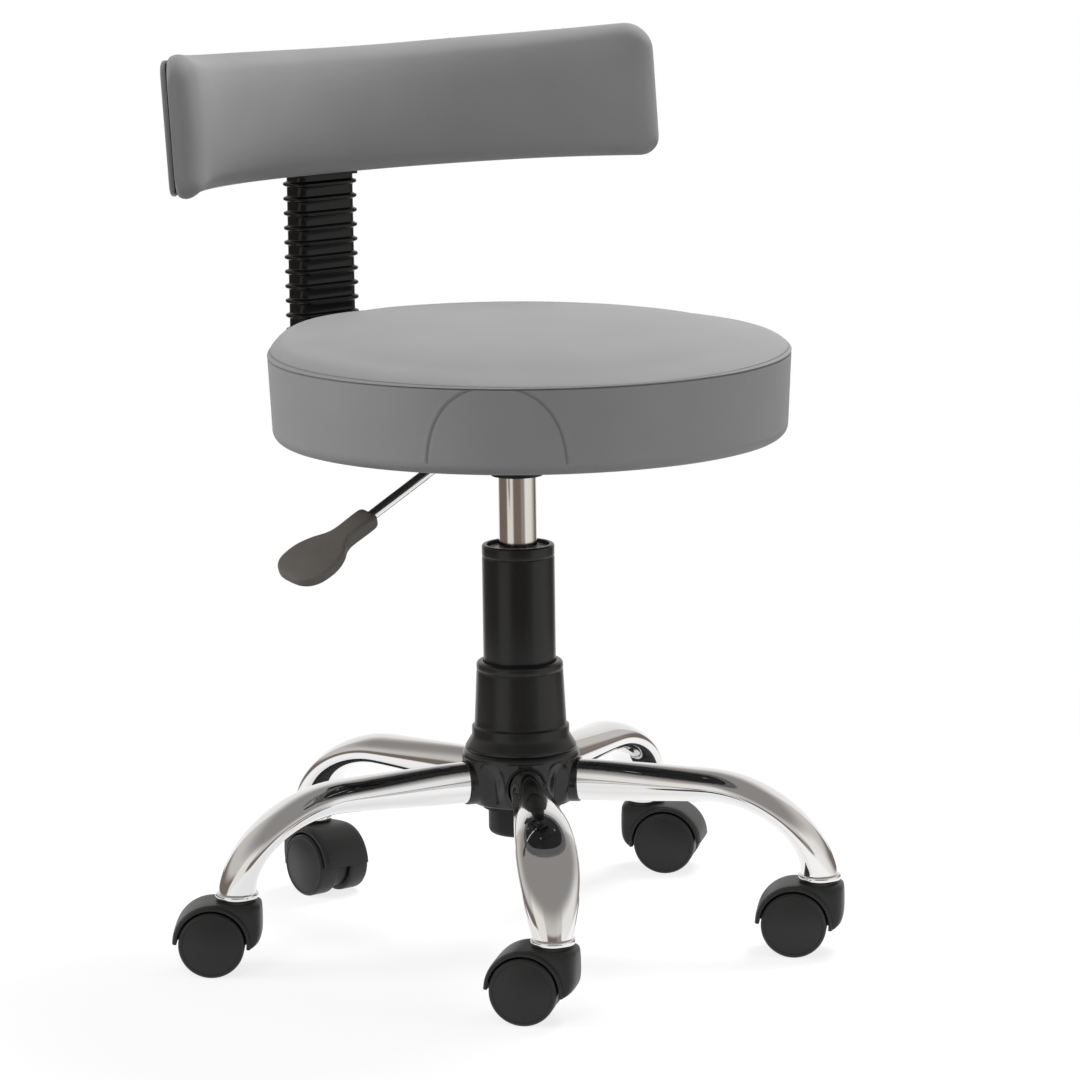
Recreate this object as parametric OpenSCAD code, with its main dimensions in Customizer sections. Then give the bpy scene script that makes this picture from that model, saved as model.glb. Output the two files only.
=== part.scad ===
// Medical stool with a round seat, a short curved backrest, a gas lift and a five-arm base on
// twin-wheel casters.
// The origin is on the floor under the column, +Z is up and the stool faces -Y.

/* [Seat] */
// Diameter of the round seat cushion
seat_d = 380; // [350:5:400]
// Height of the upholstered side band, from the rim to the top seam
seat_band_h = 61; // [52:1:72]
// Rise of the domed top above the top seam
seat_crown = 20; // [12:1:24]
// How far the cushion rim hangs below the seat board
rim_drop = 8; // [7:1:10]
// Distance of the seat centre in front of the column
seat_forward = 15.5; // [8:0.5:20]
// Distance from the cushion's side to the edge of the plywood seat board
board_inset = 22; // [20:0.5:32]
// Thickness of the plywood seat board
board_t = 12; // [10:1:15]

/* [Backrest] */
// Height of the curved back pad
back_h = 98; // [90:1:110]
// Radius of the pad's front edge, in plan
back_r = 271; // [262:1:290]
// Half of the angle that the backrest wraps round the sitter
back_half_angle = 53; // [45:1:56]
// Angle that the backrest leans back
back_lean = 5; // [2:1:7]
// Height of the pad's middle above the seat's top seam
back_rise = 163; // [158:1:175]
// Gap between the seat's rear edge and the middle of the back bar
post_gap = 48.5; // [45:0.5:58]
// Width of the flat steel back bar
bar_w = 40; // [34:1:42]
// Thickness of the flat steel back bar
bar_t = 5; // [4:0.5:6]

/* [Gas lift] */
// Diameter of the chromed column
column_d = 28; // [27:0.5:29]
// Diameter of the outer steel cylinder
cylinder_d = 50; // [48:0.5:51]
// Length of the outer steel cylinder
cylinder_len = 214; // [208:1:230]
// Length of chromed column that shows below the seat mechanism
column_show = 51; // [49:1:60]
// Upward travel of the seat from the height shown
lift_up = 70; // [60:1:72]
// Downward travel of the seat from the height shown
lift_down = 44; // [30:1:44]

/* [Base] */
// Radius of the circle on which the caster stems stand
base_r = 224; // [215:1:240]
// Height of the arms' middle line above the caster sockets
arm_rise = 67; // [64:1:75]
// Outer diameter of the steel hub tube
hub_d = 58; // [57:1:60]
// Wall of the arm tubes
arm_wall = 1.6; // [1.2:0.1:2]

/* [Casters] */
// Wheel diameter
wheel_d = 48; // [46:1:49]
// Width of one wheel
wheel_w = 17.5; // [15:0.5:19]
// Height of the arm socket above the floor
caster_h = 54.5; // [53.5:0.5:58]
// Distance from the stem to the axle, in plan
caster_trail = 18; // [16:0.5:20]
// Diameter of the stem's upper end
stem_d = 11; // [10:0.5:11]

/* [Lever] */
// Diameter of the chromed lever rod
lever_d = 8; // [7:0.5:8.5]
// Angle of the rod's outer stretch below the horizontal
lever_bend = 25; // [20:1:28]
// Distance from the column to the tip of the paddle
lever_reach = 215; // [205:1:230]
// Width of the paddle's blade
paddle_w = 42; // [36:1:48]
// Turn of the paddle about its rod, so that its face leans towards the front
paddle_roll = 16; // [0:1:30]

/* [Hidden] */
$fn = 48;

// Clearances that every fit shares
run_gap = 0.05;
slide_gap = 0.1;
seat_gap = 0.3;
cut = 1;

// Arm directions, from the front towards +X, and the direction of each caster's trail from +X
arm_count = 5;
arm_step = 360 / arm_count;
first_arm_angle = -arm_step / 2;
trail_angles = [126.8, 131.9, 307, 267, 138.5];
// Small turns of the arms from an even star, left by the welding
arm_turns = [0, -1.5, 5, 5.5, -1];

// Heights of the base and the gas lift
arm_z = caster_h + arm_rise;
hub_below = 21.5;
hub_h = 50;
hub_z = arm_z - hub_below;
hub_top_z = hub_z + hub_h;
cylinder_drop = 20;
cylinder_z = hub_z - cylinder_drop;
cylinder_top_z = cylinder_z + cylinder_len;
cylinder_wall = 2;
cylinder_taper = 0.6;
cylinder_foot_r = 4;
foot_plate_t = 4;
foot_recess = 6;
collar_lip = 3;
collar_top_z = cylinder_top_z + collar_lip;
bush_len = 72;
bush_z = cylinder_top_z - bush_len;

// The bearing stack on the cylinder's foot plate
rod_d = 10;
rod_spigot_d = 8;
rod_flange_d = 17;
rod_flange_t = 2;
bearing_d = 24;
race_t = 1.5;
ball_d = 3;
ball_count = 12;
buffer_d = 26;
buffer_t = 8;
clip_d = 15;
clip_t = 1.2;
clip_clear = 1;
foot_top_z = cylinder_z + foot_recess + foot_plate_t;
bearing_top_z = foot_top_z + 2 * race_t + ball_d;
buffer_z = bearing_top_z + rod_flange_t;
clip_z = cylinder_z + foot_recess - clip_t;
clip_tail = 2;

// The chromed column, its gland and the piston
column_wall = 2;
column_bottom_z = bush_z - lift_up;
gland_h = 20;
piston_h = 12;
piston_gap = 1;
piston_z = bush_z + gland_h + piston_gap;
taper_share = 0.032;

// The seat mechanism
mech_z = collar_top_z + column_show;
mech_h = 36;
mech_wall = 3;
socket_drop = 9;
mech_w = 72;
mech_front = 40;
mech_rear = 34;
cone_wall = 5;
plate_t = 3;
plate_z = mech_z + mech_h;
board_z = plate_z + plate_t;
rim_z = board_z - rim_drop;
seam_z = rim_z + seat_band_h;
lever_drop = 7;
lever_z = plate_z - lever_drop;
button_d = 8;
button_out = 4.5;
button_play = 0.5;
button_len = 22;
button_gap = 0.06;
button_top_z = lever_z - lever_d / 2 - button_play;
column_top_z = button_top_z - button_out;
valve_len = 28;
column_cap_z = column_top_z - valve_len;

// The seat plate, whose ends keep their distance from the board's edge, and its bolts
board_d = seat_d - 2 * board_inset;
plate_front_inset = 95.5;
plate_rear_inset = 46.5;
plate_w = board_d / 2;
plate_front = board_d / 2 + seat_forward - plate_front_inset;
plate_rear = board_d / 2 - seat_forward - plate_rear_inset;
plate_corner_r = 14;
bolt_d = 6;
bolt_inset = 18;
bolt_x = plate_w / 2 - bolt_inset;
bolt_front = plate_front - bolt_inset;
bolt_rear = plate_rear - bolt_inset;
bolt_len = 15;
bolt_head_d = 11;
bolt_head_t = 4;
nut_barrel_d = 8;
nut_flange_d = 19;
nut_flange_t = 1.2;

// The lever pivot
pivot_x = 28;
pivot_boss_d = 12;
pivot_boss_w = 15;
pin_d = 5;
lug_t = 3;
lug_w = 9.6;
lever_inner = 5;
lever_elbow_x = 48;
elbow_swell = 0.2;
slot_clear = 1.5;
slot_w = pivot_boss_w + 2 * slot_clear;

// The paddle, along the rod from its inner end: share of its length, and its width and thickness as shares
paddle_len = 84;
paddle_t = 12;
paddle_grip = 34;
paddle_round_share = 0.3;
paddle_shares = [
    [0.00, 0.30, 0.55], [0.02, 0.38, 0.85], [0.06, 0.42, 1.00], [0.34, 0.42, 1.00], [0.42, 0.52, 0.92],
    [0.52, 0.78, 0.78], [0.64, 0.96, 0.72], [0.75, 1.00, 0.70], [0.86, 0.94, 0.66], [0.94, 0.74, 0.60],
    [0.985, 0.44, 0.46], [1.00, 0.20, 0.28]
];

// The back bar, its guide and its upright
bar_clear = 2;
bar_z = rim_z - bar_clear - bar_t / 2;
bar_front_y = 52;
bar_bend_r = 22;
post_y = seat_d / 2 - seat_forward + post_gap;
bar_above_mid = 20;
guide_front_y = 44;
guide_len = 60;
guide_wall = 3;
guide_side = 4;
guide_relief_w = 18;
knob_stud_d = 8;
depth_knob_y = 74;
knob_gap = 2.7;

// The backrest, whose solids share one arc and one lean
back_mid_z = seam_z + back_rise;
back_ahead = 28.5;
back_c_y = post_y - back_ahead - back_r;
pad_t = 19;
pad_crown = 4;
pad_edge_r = 8;
pad_top_corner_r = 22;
pad_low_corner_r = 14;
pad_end_drop = 4;
back_steps = 24;
back_inner_r = back_r + pad_t;
board_back_t = 5;
board_back_inset = 9;
shell_groove = 2;
shell_t = 7;
shell_wall = 2.5;
shell_edge_r = 4;
pod_w = 72;
pod_depth = 21;
pod_h = 84;
pod_corner_r = 8;
pod_low = 45;
bracket_w = 50;
bracket_h = 50;
bracket_low = 49;
bracket_wall = 4;
flange_w = 102;
flange_t = 2.5;
flange_h = 76;
flange_low = 38;
screw_x = 42;
screw_z = 28;
screw_d = 6;
screw_head_d = 10;
screw_head_t = 3;
height_knob_low = 20;
boss_d = 16;
boss_len = 8;
spacer_d = 10;
spacer_angle = 34;

// The knobs
knob_d = 34;
knob_h = 15;
knob_lobes = 8;
knob_lobe_d = 9;
knob_edge_r = 3;

// The bellows round the upright
bellows_w = 60;
bellows_d = 28;
bellows_core_w = 54;
bellows_core_d = 22;
bellows_r = 10;
bellows_core_r = 7;
bellows_ribs = 14;
bellows_wall = 2;
bellows_floor = 3;
bellows_above = 1.5;
rib_share = 0.42;

// The casters
web_t = 10.4;
hood_gap = 1.3;
hood_wall = 2.6;
hood_inset = 2.5;
hood_w = web_t + 2 * wheel_w - 2 * hood_inset;
stem_side = 18;
hood_low = 3.5;
hood_tail_up = 1;
hood_foot_r = 16;
hood_shoulder_r = 3;
web_r = 20;
axle_d = 6;
axle_in = 13;
stem_up = 18;
stem_low_d = 8;
stem_low = 22;
socket_h = 6;
socket_d = 31;
socket_bore_h = 19;
wheel_bore_h = 14;
wheel_edge_r = 1.6;
wheel_dish = 1.2;
wheel_hub_r = 7;
wheel_rim_t = 3;
wheel_hollow = 10;

// The arm tube's middle line bends down with these handles, as shares of its run and of its drop
arm_bend_start = 140;
arm_handle_shares = [0.52, 0.88];
arm_drop_share = 0.48;
arm_straight_steps = 4;
arm_bend_steps = 10;
// Along the arm: share of its path, and the tube's width and height there
arm_sections = [
    [0.00, 26, 31], [0.15, 27, 30.5], [0.30, 31, 28], [0.45, 36, 25], [0.58, 41, 22.5],
    [0.70, 44, 20.5], [0.80, 43, 20], [0.88, 39, 22], [0.95, 34, 26.5], [1.00, 30.5, 30]
];

// Covers of the hub, each as radius and height of its outline
hub_cover_rim_r = 41;
hub_cover_wide_r = 43.5;
hub_cover_foot_r = 35.5;
hub_cover_below = 17;
hub_cover_wide_up = 18;
hub_cover_up = 23;
cover_wall = 2;
window_gap = 0.5;
lower_cover_h = 65.5;
lower_cover_top_r = 32;
lower_cover_foot_r = 34;
lower_skirt_h = 18;
lower_bead_r = 36;
lower_shoulder = 3;
groove_w = 1.4;
groove_in = 0.7;
sleeve_wall = 1.6;
sleeve_round_r = 1.6;
sleeve_bead_h = 8;

// Seat cushion outline
cover_t = 1.5;
seat_foot_r = 9;
seat_taper = 2.5;
seam_in = 1.2;
seam_half_w = 1.5;
crown_power = 6;
crown_shares = [0, 0.2, 0.4, 0.55, 0.68, 0.78, 0.86, 0.91, 0.95, 0.975, 0.99, 0.998, 1];
tuck_w = 16;
rim_foot_w = 14;
arc_steps = 6;

// Rings of points that loft() joins into one closed solid
module loft(rings) {
    n = len(rings[0]);
    last = (len(rings) - 1) * n;
    points = [for (ring = rings) each ring];
    sides = [for (j = [0 : len(rings) - 2], i = [0 : n - 1])
        let (a = j * n + i, b = j * n + (i + 1) % n) each [[a, b + n, b], [a, a + n, b + n]]];
    first_cap = [for (i = [1 : n - 2]) [0, i, i + 1]];
    last_cap = [for (i = [1 : n - 2]) [last, last + i + 1, last + i]];
    polyhedron(points, concat(sides, first_cap, last_cap), convexity = 6);
}

function unit(v) = v / norm(v);
function mix(a, b, t) = a + (b - a) * t;
function bezier(p, t) = pow(1 - t, 3) * p[0] + 3 * pow(1 - t, 2) * t * p[1]
    + 3 * (1 - t) * t * t * p[2] + pow(t, 3) * p[3];
// Value of column k of a table whose first column rises, at x
function table(rows, x, k, i = 0) = x <= rows[i][0] || i == len(rows) - 1 ? rows[i][k]
    : x <= rows[i + 1][0] ? mix(rows[i][k], rows[i + 1][k], (x - rows[i][0]) / (rows[i + 1][0] - rows[i][0]))
    : table(rows, x, k, i + 1);
function arc(c, r, a1, a2, steps) = [for (k = [0 : steps])
    let (a = mix(a1, a2, k / steps)) [c[0] + r * cos(a), c[1] + r * sin(a)]];
// A rounded rectangle's outline, anticlockwise, with steps + 1 points at each corner
function rounded_ring(w, d, r, steps) = concat(
    arc([w / 2 - r, d / 2 - r], r, 0, 90, steps), arc([r - w / 2, d / 2 - r], r, 90, 180, steps),
    arc([r - w / 2, r - d / 2], r, 180, 270, steps), arc([w / 2 - r, r - d / 2], r, 270, 360, steps));

module ring(r_out, r_in, z1, z2) {
    translate([0, 0, z1]) difference() {
        cylinder(h = z2 - z1, r = r_out);
        translate([0, 0, -cut]) cylinder(h = z2 - z1 + 2 * cut, r = r_in);
    }
}

module rounded_plate(w, front, rear, r, t) {
    linear_extrude(t) union() {
        translate([r - w / 2, -front]) square([w - 2 * r, front + rear]);
        translate([-w / 2, r - front]) square([w, front + rear - 2 * r]);
        for (x = [r - w / 2, w / 2 - r], y = [r - front, rear - r]) translate([x, y]) circle(r);
    }
}

// Base arms
function arm_angle(i) = first_arm_angle + arm_step * (i - 1) + arm_turns[i - 1];
function arm_start() = hub_d / 2 - arm_wall;
function arm_path() = let (
        bend = [[arm_bend_start, arm_z],
            [mix(arm_bend_start, base_r, arm_handle_shares[0]), arm_z],
            [mix(arm_bend_start, base_r, 1), mix(arm_z, caster_h, arm_drop_share)],
            [base_r, caster_h]])
    concat([for (k = [0 : arm_straight_steps - 1]) [mix(arm_start(), arm_bend_start,
        k / arm_straight_steps), arm_z]],
        [for (k = [0 : arm_bend_steps]) bezier(bend, k / arm_bend_steps)]);
function path_lengths(p, i = 0, total = 0, out = []) = i >= len(p) ? out
    : let (step = i == 0 ? 0 : norm(p[i] - p[i - 1]))
        path_lengths(p, i + 1, total + step, concat(out, [total + step]));
function arm_tangent(p, i) = i == 0 ? [1, 0] : i == len(p) - 1 ? [0, -1] : unit(p[i + 1] - p[i - 1]);
function arm_rings(inset, n, skip_end) = let (p = arm_path(), s = path_lengths(p), total = s[len(s) - 1])
    [for (i = [0 : len(p) - 1 - skip_end]) let (
            t = arm_tangent(p, i),
            w = table(arm_sections, s[i] / total, 1) / 2 - inset,
            h = table(arm_sections, s[i] / total, 2) / 2 - inset)
        [for (k = [0 : n - 1]) let (a = 360 * k / n)
            [p[i][0] - h * sin(a) * t[1], w * cos(a), p[i][1] + h * sin(a) * t[0]]]];

module at_arm(i) {
    rotate([0, 0, arm_angle(i) - 90]) children();
}

module base_arm(i) {
    color("silver") at_arm(i) difference() {
        union() {
            difference() {
                loft(arm_rings(0, 18, 0));
                loft(arm_rings(arm_wall, 14, 4));
            }
            translate([base_r, 0, caster_h]) cylinder(h = socket_h, d = socket_d);
        }
        translate([base_r, 0, caster_h - cut]) cylinder(h = socket_bore_h + cut, d = stem_d);
        translate([0, 0, hub_z]) cylinder(h = hub_h, d = hub_d);
    }
}

module caster_stems() {
    color("gainsboro") for (i = [1 : arm_count]) at_arm(i) translate([base_r, 0, caster_h]) union() {
        cylinder(h = stem_up, d = stem_d);
        translate([0, 0, -stem_low]) cylinder(h = stem_low + cut, d = stem_low_d);
    }
}

// Hub and covers
module hub_tube() {
    color("dimgray") difference() {
        translate([0, 0, hub_z]) cylinder(h = hub_h, d = hub_d);
        translate([0, 0, hub_z]) cylinder(h = hub_h, d1 = cylinder_d - cylinder_taper, d2 = cylinder_d);
        translate([0, 0, hub_z - cut]) cylinder(h = 2 * cut, d = cylinder_d - cylinder_taper);
        translate([0, 0, hub_top_z - cut]) cylinder(h = 2 * cut, d = cylinder_d);
    }
}

module hub_cover() {
    foot_z = arm_z - hub_cover_below;
    wide_z = arm_z + hub_cover_wide_up;
    rim_top_z = arm_z + hub_cover_up;
    in_r = hub_d / 2 + slide_gap;
    color("black") difference() {
        rotate_extrude() polygon([
            [in_r, rim_top_z], [in_r, rim_top_z - cover_wall], [hub_cover_rim_r - cover_wall,
                rim_top_z - cover_wall],
            [hub_cover_wide_r - cover_wall, wide_z], [hub_cover_foot_r - cover_wall, foot_z],
            [hub_cover_foot_r, foot_z], [hub_cover_wide_r, wide_z], [hub_cover_rim_r, rim_top_z]
        ]);
        for (i = [1 : arm_count]) at_arm(i) arm_window(foot_z);
    }
}

module arm_window(foot_z) {
    w = table(arm_sections, 0, 1) + 2 * window_gap;
    h = table(arm_sections, 0, 2) / 2 + window_gap;
    translate([0, 0, arm_z]) rotate([90, 0, 90]) linear_extrude(hub_cover_wide_r + cut) union() {
        translate([0, h - w / 2]) circle(w / 2);
        translate([-w / 2, foot_z - arm_z - cut]) square([w, h - w / 2 - foot_z + arm_z + cut]);
    }
}

module lower_cover() {
    foot_z = arm_z + hub_cover_up;
    skirt_z = foot_z + lower_skirt_h;
    top_z = foot_z + lower_cover_h;
    in_r = cylinder_d / 2 + sleeve_wall + slide_gap + seat_gap;
    groove_z = top_z - 2 * lower_shoulder;
    color("black") rotate_extrude() polygon(concat(
        [[in_r, top_z], [in_r, top_z - cover_wall], [lower_cover_top_r - cover_wall,
            top_z - lower_shoulder - cover_wall],
            [lower_cover_foot_r - cover_wall, skirt_z], [hub_cover_rim_r - cover_wall, foot_z + cover_wall],
            [hub_cover_rim_r - cover_wall, foot_z], [hub_cover_rim_r, foot_z],
            [hub_cover_rim_r, foot_z + cover_wall], [lower_bead_r + groove_in, foot_z + lower_skirt_h / 2],
            [lower_bead_r, foot_z + lower_skirt_h / 2 + groove_w], [lower_bead_r, skirt_z - groove_w],
            [lower_cover_foot_r, skirt_z], [lower_cover_top_r, groove_z - groove_w],
            [lower_cover_top_r - groove_in, groove_z - groove_w / 2], [lower_cover_top_r, groove_z]],
        arc([lower_cover_top_r - lower_shoulder, top_z - lower_shoulder], lower_shoulder, 0, 90, arc_steps)));
}

module upper_cover() {
    in_r = cylinder_d / 2 + slide_gap;
    out_r = in_r + sleeve_wall;
    bead_z = collar_top_z - sleeve_bead_h;
    color("black") rotate_extrude() polygon(concat(
        [[in_r, cylinder_top_z + slide_gap], [in_r, hub_top_z], [out_r, hub_top_z],
            [out_r, bead_z - groove_w], [out_r - groove_in, bead_z - groove_w / 2], [out_r, bead_z]],
        arc([out_r - sleeve_round_r, collar_top_z - sleeve_round_r], sleeve_round_r, 0, 90, arc_steps),
        [[in_r - cylinder_wall, collar_top_z], [in_r - cylinder_wall, cylinder_top_z + slide_gap]]));
}

// Gas lift
module gas_cylinder() {
    r = cylinder_d / 2;
    foot_r = r - cylinder_taper / 2;
    in_r = r - cylinder_wall;
    color("dimgray") difference() {
        union() {
            translate([0, 0, hub_top_z]) cylinder(h = cylinder_top_z - hub_top_z, r = r);
            translate([0, 0, hub_z]) cylinder(h = hub_h, r1 = foot_r, r2 = r);
            rotate_extrude() polygon(concat([[0, hub_z], [0, cylinder_z]],
                arc([foot_r - cylinder_foot_r, cylinder_z + cylinder_foot_r], cylinder_foot_r, -90, 0,
                    arc_steps),
                [[foot_r, hub_z]]));
        }
        translate([0, 0, foot_top_z]) cylinder(h = cylinder_len, r = in_r);
        translate([0, 0, cylinder_z - cut]) cylinder(h = foot_recess + cut, d = clip_d + 2 * clip_clear);
        translate([0, 0, cylinder_z]) cylinder(h = cylinder_drop, d = rod_spigot_d + 2 * run_gap);
    }
}

module guide_bush() {
    color("whitesmoke") ring(cylinder_d / 2 - cylinder_wall, column_d / 2 + run_gap, bush_z, cylinder_top_z);
}

module thrust_bearing() {
    pitch_r = (bearing_d + rod_d) / 4;
    color("lightgray") {
        ring(bearing_d / 2, rod_spigot_d / 2 + run_gap, foot_top_z, foot_top_z + race_t);
        ring(bearing_d / 2, rod_spigot_d / 2 + run_gap, bearing_top_z - race_t, bearing_top_z);
        for (k = [0 : ball_count - 1]) rotate([0, 0, 360 * k / ball_count])
            translate([pitch_r, 0, foot_top_z + race_t + ball_d / 2]) sphere(d = ball_d, $fn = 24);
    }
}

module rubber_buffer() {
    color("#2b2b2b") ring(buffer_d / 2, rod_d / 2, buffer_z, buffer_z + buffer_t);
}

module piston_rod() {
    color("lightgray") union() {
        translate([0, 0, clip_z - clip_tail])
            cylinder(h = bearing_top_z - clip_z + clip_tail, d = rod_spigot_d);
        translate([0, 0, bearing_top_z]) cylinder(h = rod_flange_t, d = rod_flange_d);
        translate([0, 0, bearing_top_z]) cylinder(h = piston_z - bearing_top_z, d = rod_d);
        translate([0, 0, piston_z]) cylinder(h = piston_h, r = column_d / 2 - column_wall - run_gap);
    }
}

module retaining_clip() {
    color("lightgray") ring(clip_d / 2, rod_spigot_d / 2, clip_z - run_gap, clip_z + clip_t - run_gap);
}

module gas_column() {
    r = column_d / 2;
    taper_h = column_top_z - mech_z - mech_wall;
    color("silver") difference() {
        union() {
            translate([0, 0, column_bottom_z]) cylinder(h = mech_z + mech_wall - column_bottom_z, r = r);
            translate([0, 0, mech_z + mech_wall])
                cylinder(h = taper_h, r1 = r, r2 = r - taper_h * taper_share);
        }
        translate([0, 0, column_bottom_z - cut])
            cylinder(h = column_cap_z - column_bottom_z + cut, r = r - column_wall);
        translate([0, 0, column_cap_z - cut])
            cylinder(h = valve_len + 2 * cut, d = button_d + 2 * button_gap);
    }
}

module rod_gland() {
    color("#2b2b2b") ring(column_d / 2 - column_wall, rod_d / 2 + run_gap, column_bottom_z,
        column_bottom_z + gland_h);
}

module release_button() {
    color("white") translate([0, 0, button_top_z - button_len]) cylinder(h = button_len, d = button_d);
}

// Seat mechanism
module mechanism_housing() {
    r = column_d / 2;
    taper_h = column_top_z - mech_z - mech_wall;
    floor_z = mech_z + socket_drop;
    color("#262626") difference() {
        union() {
            translate([-mech_w / 2, -mech_front, floor_z]) cube([mech_w, mech_front + mech_rear, mech_wall]);
            for (x = [-mech_w / 2, mech_w / 2 - mech_wall])
                translate([x, -mech_front, floor_z])
                    cube([mech_wall, mech_front + mech_rear, mech_h - socket_drop]);
            translate([0, 0, mech_z]) cylinder(h = taper_h + mech_wall, r = r + cone_wall);
        }
        translate([0, 0, mech_z - cut]) cylinder(h = mech_wall + cut, r = r + run_gap);
        translate([0, 0, mech_z + mech_wall]) cylinder(h = taper_h, r1 = r, r2 = r - taper_h * taper_share);
        translate([0, 0, column_top_z - cut]) cylinder(h = 2 * cut, r = r - taper_h * taper_share);
        translate([-mech_w, -slot_w / 2, lever_z - lever_d]) cube([mech_w, slot_w, 2 * lever_d]);
    }
}

module seat_plate() {
    color("#262626") {
        difference() {
            translate([0, 0, plate_z])
                rounded_plate(plate_w, plate_front, plate_rear, plate_corner_r, plate_t);
            for (x = [-bolt_x, bolt_x], y = [-bolt_front, bolt_rear])
                translate([x, y, plate_z - cut]) cylinder(h = plate_t + 2 * cut, d = bolt_d + 2 * slide_gap);
        }
        for (side = [-1, 1]) pivot_lug(side);
    }
}

module pivot_lug(side) {
    y = side * (pivot_boss_w / 2 + slide_gap + lug_t / 2);
    difference() {
        translate([-pivot_x - lug_w / 2, y - lug_t / 2, lever_z - lug_w / 2])
            cube([lug_w, lug_t, plate_z - lever_z + lug_w / 2]);
        translate([-pivot_x, y + lug_t, lever_z]) rotate([90, 0, 0]) cylinder(h = 2 * lug_t, d = pin_d);
    }
}

module lever_pin() {
    len_y = pivot_boss_w + 2 * slide_gap + 2 * lug_t;
    color("silver") translate([-pivot_x, len_y / 2, lever_z]) rotate([90, 0, 0])
        cylinder(h = len_y, d = pin_d);
}

module bar_guide() {
    slot_half = bar_w / 2 + slide_gap;
    half_w = slot_half + guide_side;
    low_z = bar_z - bar_t / 2 - slide_gap;
    top_z = bar_z + bar_t / 2 + slide_gap;
    color("#262626") difference() {
        translate([-half_w, guide_front_y, low_z - guide_wall])
            cube([2 * half_w, guide_len, plate_z - low_z + guide_wall]);
        translate([-slot_half, guide_front_y - cut, low_z])
            cube([2 * slot_half, guide_len + 2 * cut, top_z - low_z]);
        translate([-guide_relief_w / 2, guide_front_y - cut, low_z])
            cube([guide_relief_w, guide_len + 2 * cut, plate_z - low_z + cut]);
        translate([0, depth_knob_y, low_z - guide_wall - cut])
            cylinder(h = guide_wall + 2 * cut, d = knob_stud_d + 2 * run_gap);
    }
}

// Seat
// Outline of the cushion from its centre out and down to the rim, drawn in by inset
function seat_outline(inset) = let (
        half = seat_d / 2 - inset,
        foot = seat_d / 2 - seat_foot_r - seat_taper)
    concat(
        [for (t = crown_shares) [half * t, seam_z + (seat_crown - inset) * sqrt(1 - pow(t, crown_power))]],
        [[half - seam_in, seam_z - seam_half_w], [half, seam_z - 2 * seam_half_w]],
        [for (k = [0 : arc_steps]) let (a = -90 * k / arc_steps)
            [foot + (seat_foot_r - inset) * cos(a), rim_z + seat_foot_r + (seat_foot_r - inset) * sin(a)]]);

module seat_space() {
    translate([0, -seat_forward, 0]) children();
}

module seat_board() {
    color("burlywood") difference() {
        seat_space() translate([0, 0, board_z]) cylinder(h = board_t, d = board_d);
        for (x = [-bolt_x, bolt_x], y = [-bolt_front, bolt_rear])
            translate([x, y, board_z - cut]) cylinder(h = board_t + 2 * cut, d = nut_barrel_d);
    }
}

module seat_foam() {
    inner = board_d / 2;
    color("lightyellow") difference() {
        seat_space() rotate_extrude() polygon(concat(seat_outline(cover_t),
            [[inner, rim_z + cover_t], [inner, board_z + board_t], [0, board_z + board_t]]));
        for (x = [-bolt_x, bolt_x], y = [-bolt_front, bolt_rear]) translate([x, y, board_z + board_t - cut])
            cylinder(h = nut_flange_t + cut, d = nut_flange_d);
    }
}

module seat_cover() {
    inner = board_d / 2;
    color("#7d7d7f") seat_space() rotate_extrude() difference() {
        polygon(concat(seat_outline(0), [[inner - cover_t, rim_z], [inner - tuck_w, board_z - cover_t],
            [inner - tuck_w, board_z], [0, board_z]]));
        polygon(concat(seat_outline(cover_t), [[inner, rim_z + cover_t], [inner, board_z], [0, board_z]]));
        translate([0, board_z]) square([inner, board_t]);
        translate([0, board_z - cut]) square([inner - tuck_w, 2 * cut]);
    }
}

module tee_nuts() {
    color("lightgray") for (x = [-bolt_x, bolt_x], y = [-bolt_front, bolt_rear])
        translate([x, y, 0]) difference() {
        union() {
            translate([0, 0, board_z + plate_t]) cylinder(h = board_t - plate_t, d = nut_barrel_d);
            translate([0, 0, board_z + board_t]) cylinder(h = nut_flange_t, d = nut_flange_d);
        }
        translate([0, 0, board_z]) cylinder(h = board_t + cut + nut_flange_t, d = bolt_d);
    }
}

module seat_bolts() {
    color("silver") for (x = [-bolt_x, bolt_x], y = [-bolt_front, bolt_rear])
        translate([x, y, plate_z]) union() {
        cylinder(h = bolt_len, d = bolt_d);
        translate([0, 0, -bolt_head_t]) cylinder(h = bolt_head_t, d = bolt_head_d);
    }
}

// Lever
function lever_outer() = (lever_reach - lever_elbow_x) / cos(lever_bend);

// Places its children at the elbow's corner, with +Z along the rod's outer stretch
module along_lever() {
    translate([-lever_elbow_x, 0, lever_z]) rotate([0, -90 - lever_bend, 0]) children();
}

module lever_rod() {
    outer = lever_outer() - paddle_len + paddle_grip;
    color("silver") difference() {
        union() {
            translate([lever_inner, 0, lever_z]) rotate([0, -90, 0])
                cylinder(h = lever_inner + lever_elbow_x, d = lever_d);
            along_lever() cylinder(h = outer, d = lever_d);
            along_lever() sphere(r = lever_d / 2 + elbow_swell);
            translate([-pivot_x, pivot_boss_w / 2, lever_z]) rotate([90, 0, 0])
                cylinder(h = pivot_boss_w, d = pivot_boss_d);
        }
        translate([-pivot_x, pivot_boss_w, lever_z]) rotate([90, 0, 0])
            cylinder(h = 2 * pivot_boss_w, d = pin_d + 2 * run_gap);
    }
}

module lever_paddle() {
    start = lever_outer() - paddle_len;
    rings = [for (row = paddle_shares) let (s = start + row[0] * paddle_len,
            pts = rounded_ring(row[2] * paddle_t, row[1] * paddle_w,
                paddle_round_share * row[2] * paddle_t, 3))
        [for (p = pts) [p[0], p[1], s]]];
    color("#3a3a3a") along_lever() rotate([0, 0, -paddle_roll]) difference() {
        loft(rings);
        translate([0, 0, start - cut]) cylinder(h = paddle_grip + cut, d = lever_d);
    }
}

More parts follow.
